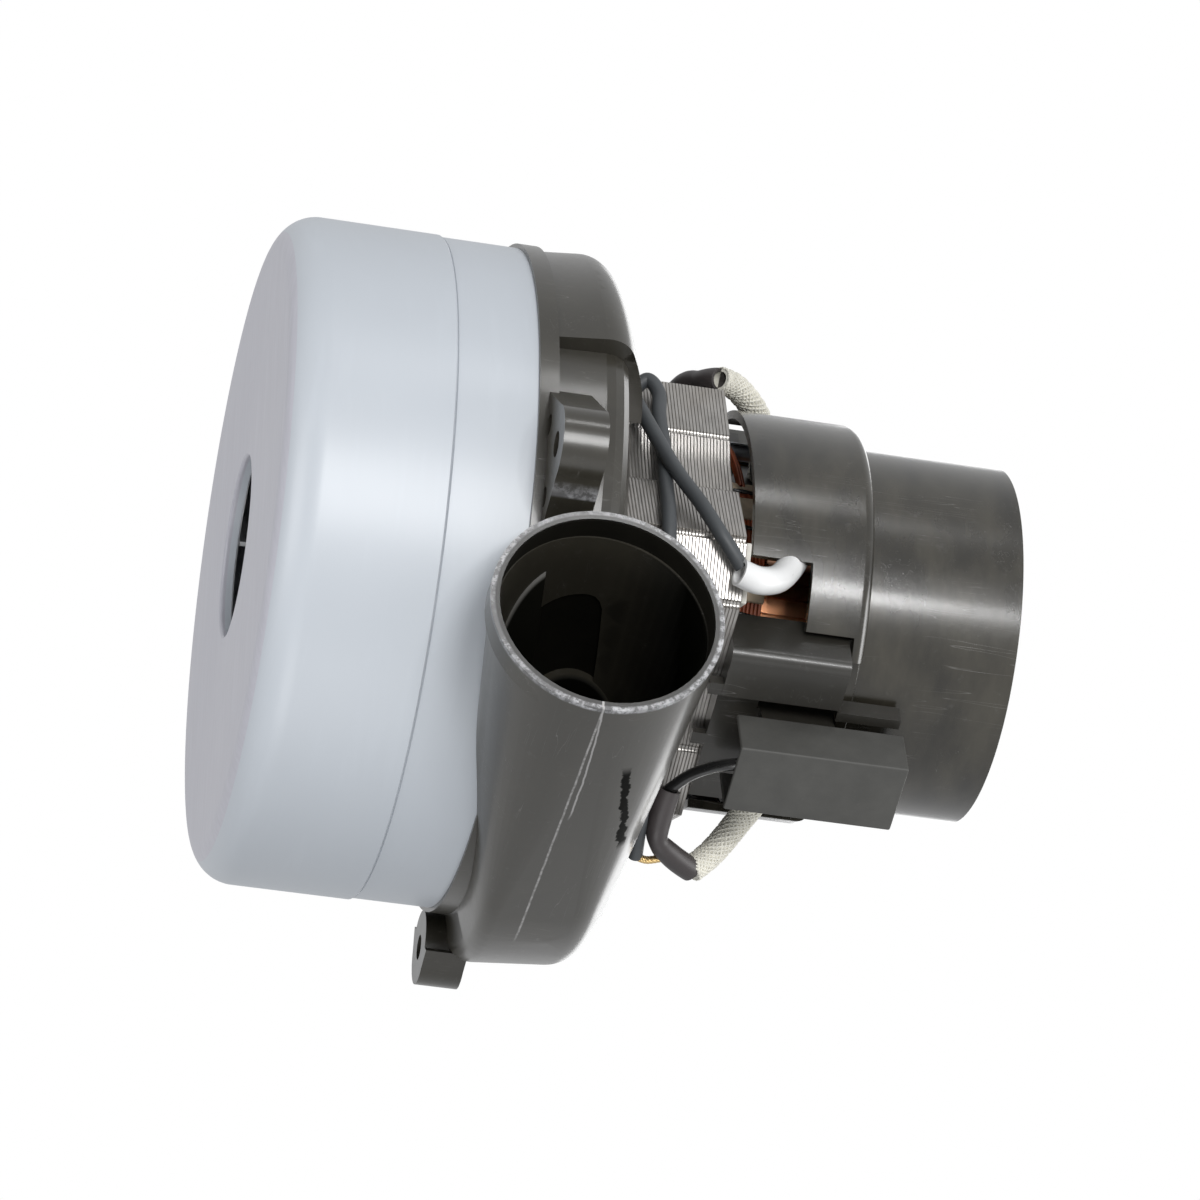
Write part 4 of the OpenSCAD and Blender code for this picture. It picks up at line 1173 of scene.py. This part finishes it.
@dataclass
class Stator(SubAssembly):
    """The laminated stack, its field coils, insulators and through bolts."""

    pole_deg: float = 25.5
    stack_z: float = 75.0
    stack_h: float = 26.5
    sheets: int = 36
    groove: float = 0.16
    coil_inner: float = 23.9
    coil_outer: float = 30.1
    coil_start: float = 37.5
    coil_stop: float = 59.5
    plate_t: float = 1.2
    head_h: float = 7.5
    wire_r: float = 0.40
    rows: int = 9
    layers: int = 8
    tapes: Sequence[Pair] = ((-55.0, 5.0), (-39.0, 13.0), (2.0, 6.0), (28.0, 8.0), (44.0, 6.0))
    cord_places: Sequence[float] = (-49.5, -27.5, 10.0, 36.0)

    def seat(self, up: bool) -> float:
        """Height at which a coil's head starts, at the commutator end or at the other end."""
        return self.stack_z + self.stack_h + self.plate_t if up else self.stack_z - self.plate_t

    def turn(self, along: float, outward: float, pole: float, up: bool, rng: random.Random) -> list[Vector]:
        """Path of one turn over a coil's head, from slot to slot.

        Args:
            along: Place across the bundle, 0 next to the pole and 1 at its far side.
            outward: Place through the bundle, 0 at its inner side and 1 at its outer side.
            pole: Direction of the coil's pole.
            up: Whether it is the head at the commutator end.
            rng: Source of the small differences between the wires.

        Returns:
            The path.
        """
        depth = self.coil_outer - self.coil_inner - 2 * self.wire_r
        radius = self.coil_inner + self.wire_r + depth * outward
        side = self.coil_start + 1.0 + (self.coil_stop - self.coil_start - 2.0) * along
        seat = self.seat(up)
        way = 1.0 if up else -1.0
        rise = self.wire_r + (self.head_h - 2 * self.wire_r) * along
        wave = rng.uniform(-0.12, 0.12)
        bend = min(rise, 3.0)
        foot, knee = seat - way * 3.0, seat + way * (rise - 0.35 * bend)
        points = [polar(radius, pole + side, foot), polar(radius, pole + side, seat),
                  polar(radius, pole + side - 0.3 * bend, knee)]
        for k in range(9):
            share = 1 - 2 * k / 8
            height = seat + way * (rise + wave * math.cos(k * 1.3))
            points.append(polar(radius + wave * math.sin(k), pole + (side - bend * 1.7) * share, height))
        points += [polar(radius, pole - side + 0.3 * bend, knee), polar(radius, pole - side, seat),
                   polar(radius, pole - side, foot)]
        return spline(points, 3)

    def coil(self, name: str, pole: float) -> Piece:
        """A field coil wound from single wires over a plain core.

        Args:
            name: The object's name.
            pole: Direction of its pole.

        Returns:
            The coil.
        """
        rng = random.Random(int(pole))
        last_row, last_layer = self.rows - 1, self.layers - 1
        inner, outer = self.coil_inner, self.coil_outer
        wires = []
        for up in (True, False):
            for row in range(self.rows):
                for layer in range(self.layers):
                    if row in (0, last_row) or layer in (0, last_layer):
                        path = self.turn(row / last_row, layer / last_layer, pole, up, rng)
                        wires.append(tube("wire", path, self.wire_r, 6))
        span = (self.coil_stop - self.coil_start) / 2 - 0.8
        for side in (-1, 1):
            middle = pole + side * (self.coil_start + self.coil_stop) / 2
            wires.append(self.ring_block("leg", (middle - span, middle + span), (inner + 0.5, outer - 0.5),
                                         (self.seat(False), self.seat(True))))
        reach = self.coil_stop - 3.0
        for low in (self.seat(False) - self.head_h, self.seat(True)):
            wires.append(self.ring_block("core", (pole - reach, pole + reach), (inner + 0.6, outer - 0.6),
                                         (low + 0.6, low + self.head_h - 0.6)))
        return join(name, wires)

    def ring_block(self, name: str, turns: Pair, radii: Pair, heights: Pair, round_mm: float = 0.0) -> Piece:
        """A block bent round the shaft.

        Args:
            name: The object's name.
            turns: Directions of its two ends.
            radii: Inner and outer radius.
            heights: Heights of its lower and upper face.
            round_mm: Rounding of its edges, or 0 for none.

        Returns:
            The block.
        """
        (start, end), (inner, outer), (low, high) = turns, radii, heights
        steps = max(3, int(abs(end - start) / 3))
        verts: list[Point] = []
        for i in range(steps + 1):
            angle = start + (end - start) * i / steps
            corners = ((inner, low), (outer, low), (outer, high), (inner, high))
            verts += [tuple(c * MM for c in polar(r, angle, z)) for r, z in corners]
        obj = new_object(name, verts, skin(steps + 1, 4))
        if round_mm:
            round_edges(obj, round_mm, 3, 40.0)
            apply_modifiers(obj)
            smooth(obj, 50.0)
        return obj

    def bindings(self, pole: float) -> list[Piece]:
        """Cream tape round a coil's head at the commutator end.

        Args:
            pole: Direction of the coil's pole.

        Returns:
            The pieces of tape.
        """
        low = self.seat(True)
        radii = (self.coil_inner - 0.2, self.coil_outer + 0.35)
        heights = (low - 0.1, low + self.head_h + 0.35)
        return [self.ring_block("tape", (pole + at - wide / 2, pole + at + wide / 2), radii, heights, 0.5)
                for at, wide in self.tapes]

    def cords(self, pole: float) -> list[Piece]:
        """Black lacing cord round a coil's head.

        Args:
            pole: Direction of the coil's pole.

        Returns:
            The loops of cord.
        """
        middle = (self.coil_inner + self.coil_outer) / 2
        reach = (self.coil_outer - self.coil_inner) / 2 + 0.35
        half = self.head_h / 2
        made = []
        for at in self.cord_places:
            loop = []
            for k in range(17):
                t = 2 * math.pi * k / 16
                height = self.seat(True) + half + (half + 0.3) * boxed(math.sin(t))
                loop.append(polar(middle + reach * boxed(math.cos(t)), pole + at + 1.5 * math.sin(t), height))
            made.append(tube("cord", spline(loop, 3), 0.45, 8))
        return made

    def tails(self, pole: float) -> Piece:
        """The ends of a coil's wires, which lie over the stack on their way out.

        Args:
            pole: Direction of the coil's pole.

        Returns:
            The ends.
        """
        rng = random.Random(5)
        low = self.stack_z + self.stack_h + self.wire_r
        strands = []
        for k in range(7):
            out, up, sway = 0.55 * (k % 4), 0.8 * (k // 4), rng.uniform(-1.0, 1.0)
            route = [polar(29.0 + out, pole - 54.0, low + 3.6 + up),
                     polar(31.8 + out, pole - 62.0, low + 2.6 + up),
                     polar(34.6 + out, pole - 72.0 + sway, low + 1.2 + up),
                     polar(36.6 + out, pole - 83.0, low + 0.2 + up)]
            strands.append(tube("tail", spline(route, 8), self.wire_r, 8))
        return join("field_coil_tails", strands)

    def build(self) -> None:
        """Dresses the stator's parts."""
        loops = section_loops(self.nodes["stator_stack"], self.stack_z + self.stack_h / 2)
        sheets = plate_stack("stator_sheets", loops, self.stack_z, self.stack_h, self.sheets, self.groove)
        self.put(sheets, "housing", "laminated_sheet", "laminations", "stator_stack")
        for letter, pole in (("a", self.pole_deg), ("b", self.pole_deg + 180.0)):
            coil = self.coil("field_coil_wires_" + letter, pole)
            self.put(coil, "housing", "winding_wire", "copper_wire", "field_coil_" + letter)
            tape = join("coil_tape_" + letter, self.bindings(pole))
            self.put(tape, "housing", "cream_tape", "pale_insulation")
            self.put(join("coil_cord_" + letter, self.cords(pole)), "housing", "black_lead", "black_lead")
        self.put(self.tails(self.pole_deg), "housing", "winding_wire", "copper_wire")
        soft_edges(self.keep("coil_insulators", "pale_insulation"), 0.3)
        soft_edges(self.keep("through_bolts", "zinc_bolt"), 0.3)


@dataclass
class BrushGear(SubAssembly):
    """Bracket, brush tubes, brushes, springs and insulating boxes."""

    brush_deg: float = 72.5
    brush_z: float = 120.2
    spring_start: float = 33.6
    spring_end: float = 48.8
    spring_r: float = 2.6
    wire_r: float = 0.38
    turns: int = 8
    steps: int = 26
    travel: float = 9.0

    def spring(self, name: str, at: float) -> Piece:
        """A wound pressure spring with closed ends, along a brush tube.

        Args:
            name: The object's name.
            at: Direction of its brush.

        Returns:
            The spring.
        """
        length = self.spring_end - self.spring_start - 2 * self.wire_r
        path: list[Vector] = []
        for i in range((self.turns + 2) * self.steps + 1):
            turn = i / self.steps
            share = min(1.0, max(0.0, (turn - 1.0) / self.turns))
            closed = 0.75 * (min(turn, 1.0) + max(0.0, turn - self.turns - 1.0))
            along = self.spring_start + self.wire_r + (length - 1.5) * share + closed
            beside = self.spring_r * math.cos(2 * math.pi * turn)
            height = self.brush_z + self.spring_r * math.sin(2 * math.pi * turn)
            path.append(Vector(from_brush(along, beside, height, at)) * MM)
        return tube(name, path, self.wire_r, 8)

    def build(self) -> None:
        """Dresses the brush gear."""
        parts = (("brush_bracket", "bracket_black", 0.35), ("brush_tube_a", "drawn_brass", 0.15),
                 ("brush_tube_b", "drawn_brass", 0.15), ("brush_caps", "drawn_brass", 0.15),
                 ("brush_a", "carbon", 0.3), ("brush_b", "carbon", 0.3),
                 ("insulating_box_a", "fibre_sheet", 0.5), ("insulating_box_b", "fibre_sheet", 0.5))
        for name, finish, width in parts:
            soft_edges(self.keep(name, finish), width)
        for number, letter in ((1, "a"), (2, "b")):
            at = self.brush_deg + 180.0 * (number - 1)
            coil = self.spring("brush_spring_coil_" + letter, at)
            self.put(coil, "housing", "turned_steel", "steel", "brush_spring_" + letter)
            anchor = tuple(c * MM for c in polar(self.spring_end, at, self.brush_z))
            polar(1.0, at, 0.0)
            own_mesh(coil)


@dataclass
class EndCover(SubAssembly):
    """The cover over the commutator end and cooling fan."""

    def build(self) -> None:
        """Dresses the cover."""
        soft_edges(self.keep("end_cover", "cover_black", 28.0), 0.25)


@dataclass
class Leads(SubAssembly):
    """Leads, sleeves and splices between the coils and the brushes, each route named after its node."""

    coil_lead: Route = ((47.8, 22.2, 100.4), (50.6, 16.5, 95.2), (48.8, 8, 91.4), (46.2, -0.1, 87.7),
                        (43.2, -8.1, 85), (38.2, -22.1, 80.9), (34, -30.5, 79.2), (32.3, -35, 77.4),
                        (31, -38.4, 76.8), (25.7, -42.3, 76.7), (15.4, -47.5, 76.9), (8, -49.1, 81),
                        (5.2, -49.4, 93.4))
    cross_lead: Route = ((32.5, -32.2, 80.5), (33.4, -34.6, 83.3), (34, -30.8, 85.6), (35.2, -23.5, 85.4),
                         (37, -14.5, 86), (43.6, 0, 85), (49.8, 14.2, 84.2), (45.4, 26.8, 85),
                         (30, 41.5, 87), (9, 51.5, 89), (-12.5, 57.8, 91.5))
    bare_twist: Route = ((-12.5, 57.8, 91.5), (-12.2, 58.6, 94), (-10.4, 58.6, 97.4))
    coil_sleeve: Route = ((48.4, 24, 99.6), (46.8, 24.2, 104), (43.2, 20.8, 108.8), (39.8, 15.6, 112.2),
                          (37.4, 10.4, 114.6), (34.8, 5.8, 115.4))
    brush_lead: Route = ((17.2, 49.4, 112.5), (19, 51.8, 107.4), (15.3, 51, 102.3), (8.9, 49.6, 98.5),
                         (2, 49.4, 95.5))
    lower_splice: Route = ((2, 49.4, 95.5), (-2.3, 53.2, 94.7), (-6.4, 56.8, 95), (-10.4, 57.9, 99),
                           (-14.5, 58.2, 104.2))
    lower_braid: Route = ((-14.5, 58.2, 104.2), (-13.4, 53.6, 108.8), (-10.2, 47, 113.8),
                          (-3.6, 43.6, 117), (4.8, 41.5, 118))
    upper_splice: Route = ((5.2, -49.4, 93.4), (15.2, -49.2, 96.1), (21.8, -45.9, 99.3),
                           (24.5, -44.4, 101.5))
    upper_braid: Route = ((24.5, -44.4, 101.5), (20.8, -45.5, 106.4), (11.5, -46.6, 113), (3, -45, 117),
                          (-4.8, -41.5, 118))
    braid_r: float = 3.0
    yarns: int = 14

    @staticmethod
    def lumpy(share: float) -> float:
        """Radius of a splice's shrink tube at a share of its length."""
        return 2.55 + 0.12 * math.sin(share * 9.0) - 0.25 * math.exp(-((share - 0.52) * 14) ** 2)

    def lead(self, node: str, ending: str, finish: str, per_gap: int,
             radius: float | Callable[[float], float], sides: int, inner: float = 0.0) -> None:
        """Sweeps a tube along a route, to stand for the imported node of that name.

        Args:
            node: The node and its route.
            ending: What the piece's name adds to the node's.
            finish: Its material, which has the slot's name.
            per_gap: Steps between two points of the route.
            radius: Its radius, or a function of the share of the length.
            sides: Divisions round it.
            inner: Radius of its bore, or 0 for a solid.
        """
        piece = tube(node + ending, spline(getattr(self, node), per_gap), radius, sides, inner)
        self.put(piece, "housing", finish, finish, node)

    def twist(self) -> Piece:
        """The bare strands between the cross lead and the lower splice."""
        rings = frames_along(spline(self.bare_twist, 16))
        strands = []
        for k in range(6):
            line = []
            for i, (centre, u, v) in enumerate(rings):
                angle = k * math.pi / 3 + i * 0.35
                line.append(centre + (u * math.cos(angle) + v * math.sin(angle)) * 0.55 * MM)
            strands.append(tube("twist_strand", line, 0.32, 8))
        return join("bare_twist_strands", strands)

    def braid(self, node: str) -> None:
        """A woven sleeve: two crossing sets of yarns over a core.

        Args:
            node: The node that it stands for, and its route.
        """
        radius, name = self.braid_r, node + "_sleeve"
        path = spline(getattr(self, node), 24)
        length = sum((b - a).length for a, b in zip(path, path[1:]))
        parts = [tube(name, path, radius - 0.35, 24, radius - 1.1)]
        rings = frames_along(path)
        turns = length / (2 * math.pi * radius * MM)
        for way in (-1, 1):
            for k in range(self.yarns):
                line: list[Vector] = []
                for i, (centre, u, v) in enumerate(rings):
                    share = i / (len(rings) - 1)
                    angle = 2 * math.pi * (k / self.yarns + way * turns * share)
                    weave = 0.09 * math.sin(self.yarns * 2 * math.pi * turns * share + math.pi * k)
                    reach = radius - 0.30 + weave * way
                    line.append(centre + (u * math.cos(angle) + v * math.sin(angle)) * reach * MM)
                parts.append(tube(name + "_yarn", line, 0.26, 5))
        self.put(join(name, parts), "housing", "braid", "braid", node)

    def build(self) -> None:
        """Sweeps every lead along its route."""
        self.lead("coil_lead", "_wire", "lead_rubber", 14, 1.6, 20)
        self.lead("cross_lead", "_wire", "lead_rubber", 14, 1.6, 20)
        self.put(self.twist(), "housing", "drawn_brass", "brass", "bare_twist")
        self.lead("coil_sleeve", "_tube", "white_sleeve", 16, 3.0, 28, 2.3)
        self.lead("brush_lead", "_wire", "black_lead", 14, 1.3, 20)
        self.lead("lower_splice", "_tube", "shrink_tube", 16, self.lumpy, 24, 1.9)
        self.lead("upper_splice", "_tube", "shrink_tube", 16, self.lumpy, 24, 1.9)
        self.braid("lower_braid")
        self.braid("upper_braid")


# Stage


@dataclass
class Studio:
    """Camera, floor, world and lamps."""

    eye: Point = (946.6, 676.5, -127.7)
    right: Point = (0.22024, -0.00798, 0.97541)
    down: Point = (-0.55614, 0.82048, 0.13229)
    lens: float = 162.85
    floor_glow: float = 0.35
    soft_light: float = 0.40
    white_in_gloss: float = 0.55

    def camera(self) -> None:
        """Puts the camera where the photograph was taken from."""
        data = bpy.data.cameras.new("photo_camera")
        data.lens = self.lens
        data.sensor_width = 36.0
        data.sensor_fit = "HORIZONTAL"
        data.clip_start = 0.01
        cam = bpy.data.objects.new("photo_camera", data)
        x = Vector(self.right).normalized()
        y = -Vector(self.down)
        y = (y - x * y.dot(x)).normalized()
        turn = Matrix((x, y, x.cross(y))).transposed().to_4x4()
        cam.matrix_world = Matrix.Translation(Vector(self.eye) * MM) @ turn
        bpy.context.scene.collection.objects.link(cam)
        bpy.context.scene.camera = cam

    def floor(self) -> None:
        """Lays a pale floor that is clear when seen from below."""
        shader = Shader("floor_white")
        shader.feed("Base Color", rgba(0.9, 0.9, 0.9))
        shader.feed("Roughness", 0.9)
        seen = Val(shader, shader.add("ShaderNodeLightPath", {}, {}).outputs["Is Camera Ray"])
        hidden = Val(shader, shader.add("ShaderNodeNewGeometry", {}, {}).outputs["Backfacing"])
        glow = shader.add("ShaderNodeEmission", {}, {0: rgba(1, 1, 1), 1: self.floor_glow})
        both = shader.add("ShaderNodeAddShader", {}, {0: shader.bsdf.outputs[0], 1: glow.outputs[0]})
        clear = shader.add("ShaderNodeBsdfTransparent", {}, {})
        share = 1.0 - seen * (1.0 - hidden)
        mix = shader.add("ShaderNodeMixShader", {}, {0: share, 1: both.outputs[0], 2: clear.outputs[0]})
        shader.connect(shader.out, 0, mix.outputs[0])
        bm = bmesh.new()
        bmesh.ops.create_grid(bm, x_segments=4, y_segments=4, size=6.0)
        obj = to_object("floor", bm)
        obj.location = (0, 0, -0.0004)
        obj.data.materials.append(shader.mat)

    def world(self) -> None:
        """Soft grey light all round, with white behind the object and in its gloss."""
        world = bpy.data.worlds.new("studio")
        world.use_nodes = True
        nodes = Nodes(world.node_tree)
        soft = nodes.add("ShaderNodeBackground", {}, {0: rgba(0.92, 0.95, 1.0), 1: self.soft_light})
        white = nodes.add("ShaderNodeBackground", {}, {0: rgba(1, 1, 1), 1: 1.0})
        ray = nodes.add("ShaderNodeLightPath", {}, {}).outputs
        share = Val(nodes, ray["Is Glossy Ray"]) * self.white_in_gloss + Val(nodes, ray["Is Camera Ray"])
        mix = nodes.add("ShaderNodeMixShader", {}, {0: share, 1: soft.outputs[0], 2: white.outputs[0]})
        nodes.add("ShaderNodeOutputWorld", {}, {0: mix.outputs[0]})
        bpy.context.scene.world = world

    def lamp(self, name: str, azimuth: float, height: float, reach: float, size: Pair, power: float) -> None:
        """One soft box that faces the motor.

        Args:
            name: The lamp's name.
            azimuth: Its direction round the shaft, in degrees.
            height: Its elevation above the motor's middle, in degrees.
            reach: Its distance in metres.
            size: Its width and height in metres.
            power: Its power in watts.
        """
        data = bpy.data.lights.new(name, "AREA")
        data.shape = "RECTANGLE"
        data.size, data.size_y = size
        data.energy = power
        lamp = bpy.data.objects.new(name, data)
        way = Vector(polar(math.cos(math.radians(height)), azimuth, math.sin(math.radians(height))))
        lamp.location = Vector((0, 0, 0.08)) + way * reach
        lamp.rotation_euler = way.to_track_quat("Z", "Y").to_euler()
        bpy.context.scene.collection.objects.link(lamp)

    def build(self) -> None:
        """Sets up the whole studio."""
        bpy.context.scene.view_settings.view_transform = "Standard"
        self.camera()
        self.floor()
        self.world()
        self.lamp("key_box", 12.0, 4.2, 1.5, (0.7, 0.34), 11.6)
        self.lamp("spot_card", 14.5, 14.2, 1.5, (0.20, 0.06), 2.0)
        self.lamp("left_card", -36.0, 9.4, 1.5, (0.22, 0.09), 1.2)
        self.lamp("fill_box", 80.0, -12.0, 1.6, (0.8, 0.8), 7.0)
        self.lamp("top_box", 40.0, 78.0, 1.4, (0.7, 0.7), 9.0)
        self.lamp("inlet_box", 10.0, -62.0, 1.5, (0.8, 0.8), 7.0)
        self.lamp("rear_box", 215.0, 35.0, 1.6, (1.2, 1.2), 7.0)


def main() -> None:
    """Builds the dressed motor, one sub-assembly after another."""
    logging.basicConfig(level=logging.INFO, format="%(message)s")
    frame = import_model()
    Studio().build()
    finishes = Finishes()
    for kind in (FanCasing, Scroll, FanStages, Armature, Stator, BrushGear, EndCover, Leads):
        kind(finishes, frame["nodes"]).build()
        log.info("built %s", kind.__name__)


if __name__ == "__main__":
    main()
